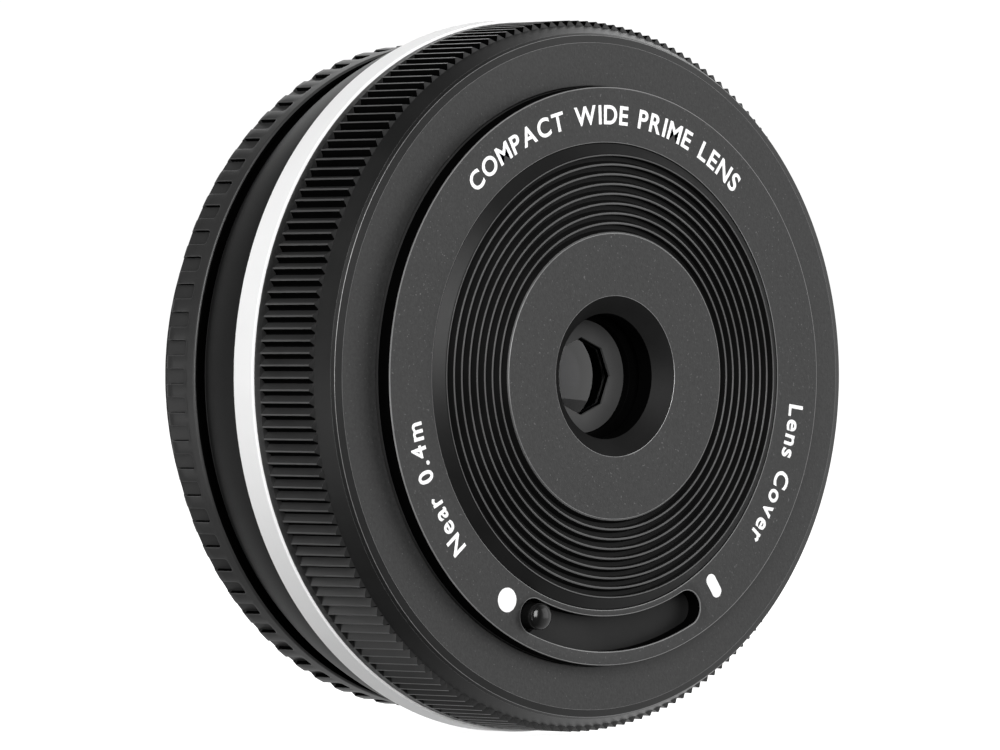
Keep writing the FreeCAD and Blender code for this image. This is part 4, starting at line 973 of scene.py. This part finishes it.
def near(corners, reach):
    """A test for mark: whether a face lies within reach of one of the outline's corners."""
    return lambda radius, forward, tilt: any(
        math.hypot(radius - corner[0], forward - corner[1]) < reach for corner in corners)


def dress(piece, body, slot, finish, *stands_for):
    """Gives a piece its finish, its body and the CAD nodes that it stands for."""
    for name in [finish] if isinstance(finish, str) else finish:
        piece.data.materials.append(FINISHES[name])
    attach(piece, body)
    if stands_for:
        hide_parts(*stands_for)
    return piece


def dress_cad_nodes():
    """Gives every CAD node the finish of its own slot in the record."""
    for entry in frame["record"]["subparts"]:
        for one in frame["nodes"][entry["node"]].material_slots:
            one.link = "OBJECT"
            one.material = FINISHES[SLOT_FINISH[entry["material_slot"]]]


# ---------------------------------------------------------------------------------------
# Floor, light and camera


def make_floor(outer=6.0, inner=0.3, gap=0.0002):
    """A round white sheet just under the lens, which only the camera sees."""
    bm = bmesh.new()
    low = CAD_BOX[0][2] - gap
    angles = [math.radians(angle) for angle in even(96)]
    rim = [bm.verts.new((outer * math.cos(a), outer * math.sin(a), low)) for a in angles]
    middle = [bm.verts.new((inner * math.cos(a), inner * math.sin(a), low)) for a in angles]
    skin(bm, [rim, middle])
    bm.faces.new(middle)
    floor = finish_mesh("floor", bm)
    material, tree, shader = blank("floor_paper")
    tree.links.new(blend_colours(tree, noise(tree, 30), grey(0.90), grey(0.92)), shader.inputs["Base Color"])
    rough(tree, shader, noise(tree, 200), 0.85, 0.95)
    shader.inputs["Emission Color"].default_value = (1, 1, 1, 1)
    shader.inputs["Emission Strength"].default_value = 0.95
    shader.inputs["Specular IOR Level"].default_value = 0.0
    floor.data.materials.append(material)
    floor.visible_transmission = False
    floor.visible_diffuse = False
    floor.visible_glossy = False
    floor.visible_shadow = False


def soft_light(name, direction, distance, width, height, power):
    """A rectangular softbox that faces the lens."""
    light = bpy.data.lights.new(name, "AREA")
    light.shape = "RECTANGLE"
    light.size = width
    light.size_y = height
    light.energy = power
    holder = bpy.data.objects.new(name, light)
    bpy.context.scene.collection.objects.link(holder)
    away = Vector(direction).normalized()
    holder.location = away * distance
    holder.rotation_euler = away.to_track_quat("Z", "Y").to_euler()
    holder.visible_camera = False
    return holder


def make_world():
    """White to the camera; to the lens, a room that is pale on the right and dark on the left."""
    world = bpy.data.worlds.new("studio")
    bpy.context.scene.world = world
    world.use_nodes = True
    tree = world.node_tree
    tree.nodes.clear()
    place = node(tree, "ShaderNodeTexCoord")
    lean = node(tree, "ShaderNodeVectorMath", operation="DOT_PRODUCT")
    lean.inputs[1].default_value = (1.0, 0.2, -0.15)
    tree.links.new(place.outputs["Generated"], lean.inputs[0])
    lift = node(tree, "ShaderNodeMapRange")
    lift.inputs["From Min"].default_value = -0.1
    lift.inputs["From Max"].default_value = 0.9
    tree.links.new(lean.outputs["Value"], lift.inputs["Value"])
    ramp = node(tree, "ShaderNodeValToRGB")
    ramp.color_ramp.elements[0].color = (*grey(0.06), 1)
    ramp.color_ramp.elements[1].color = (*grey(1.0), 1)
    tree.links.new(lift.outputs["Result"], ramp.inputs["Fac"])
    room = node(tree, "ShaderNodeBackground")
    tree.links.new(ramp.outputs["Color"], room.inputs["Color"])
    paper = node(tree, "ShaderNodeBackground")
    paper.inputs["Color"].default_value = (1, 1, 1, 1)
    paper.inputs["Strength"].default_value = 1.05
    path = node(tree, "ShaderNodeLightPath")
    mix = node(tree, "ShaderNodeMixShader")
    out = node(tree, "ShaderNodeOutputWorld")
    tree.links.new(path.outputs["Is Camera Ray"], mix.inputs["Fac"])
    tree.links.new(room.outputs["Background"], mix.inputs[1])
    tree.links.new(paper.outputs["Background"], mix.inputs[2])
    tree.links.new(mix.outputs["Shader"], out.inputs["Surface"])


def make_camera():
    """The photograph's view, as fitted to the ellipses of the lens's rings. Lengths are in mm."""
    turn = math.radians(CAMERA["azimuth"])
    rise = math.radians(CAMERA["elevation"])
    back = Vector((math.sin(turn) * math.cos(rise), -math.cos(turn) * math.cos(rise), math.sin(rise)))
    right = Vector((math.cos(turn), math.sin(turn), 0))
    up = back.cross(right)
    camera = bpy.data.cameras.new("camera")
    camera.lens = CAMERA["focal"]
    camera.sensor_width = CAMERA["sensor"]
    camera.clip_start = CAMERA["near"]
    holder = bpy.data.objects.new("camera", camera)
    bpy.context.scene.collection.objects.link(holder)
    aim = Vector((0, -CAMERA["aim"], 0))
    place = (back * CAMERA["distance"] + right * CAMERA["right"] + up * CAMERA["up"] + aim) * MM
    holder.matrix_world = Matrix.Translation(place) @ Matrix((right, up, back)).transposed().to_4x4()
    bpy.context.scene.camera = holder


def make_studio():
    """The room, the floor, four softboxes and the camera."""
    make_world()
    make_floor()
    soft_light("key_light", (-0.6, -0.85, 0.35), 0.7, 0.5, 0.5, 7.0)
    soft_light("side_light", (-0.85, 0.35, -0.2), 0.7, 0.4, 0.4, 1.6)
    soft_light("front_light", (0.75, -0.80, 0.25), 0.8, 0.5, 0.6, 1.0)
    soft_light("top_light", (0.6, 0.75, 0.55), 0.7, 0.5, 0.3, 0.5)
    make_camera()
    bpy.context.scene.view_settings.view_transform = "Standard"


# ---------------------------------------------------------------------------------------

dress_cad_nodes()
make_shell()
make_trim()
make_barrel()
make_plate()
make_ridges()
make_disc()
make_stop()
make_lever()
make_cap()
make_front_glass()
make_marks()
make_studio()
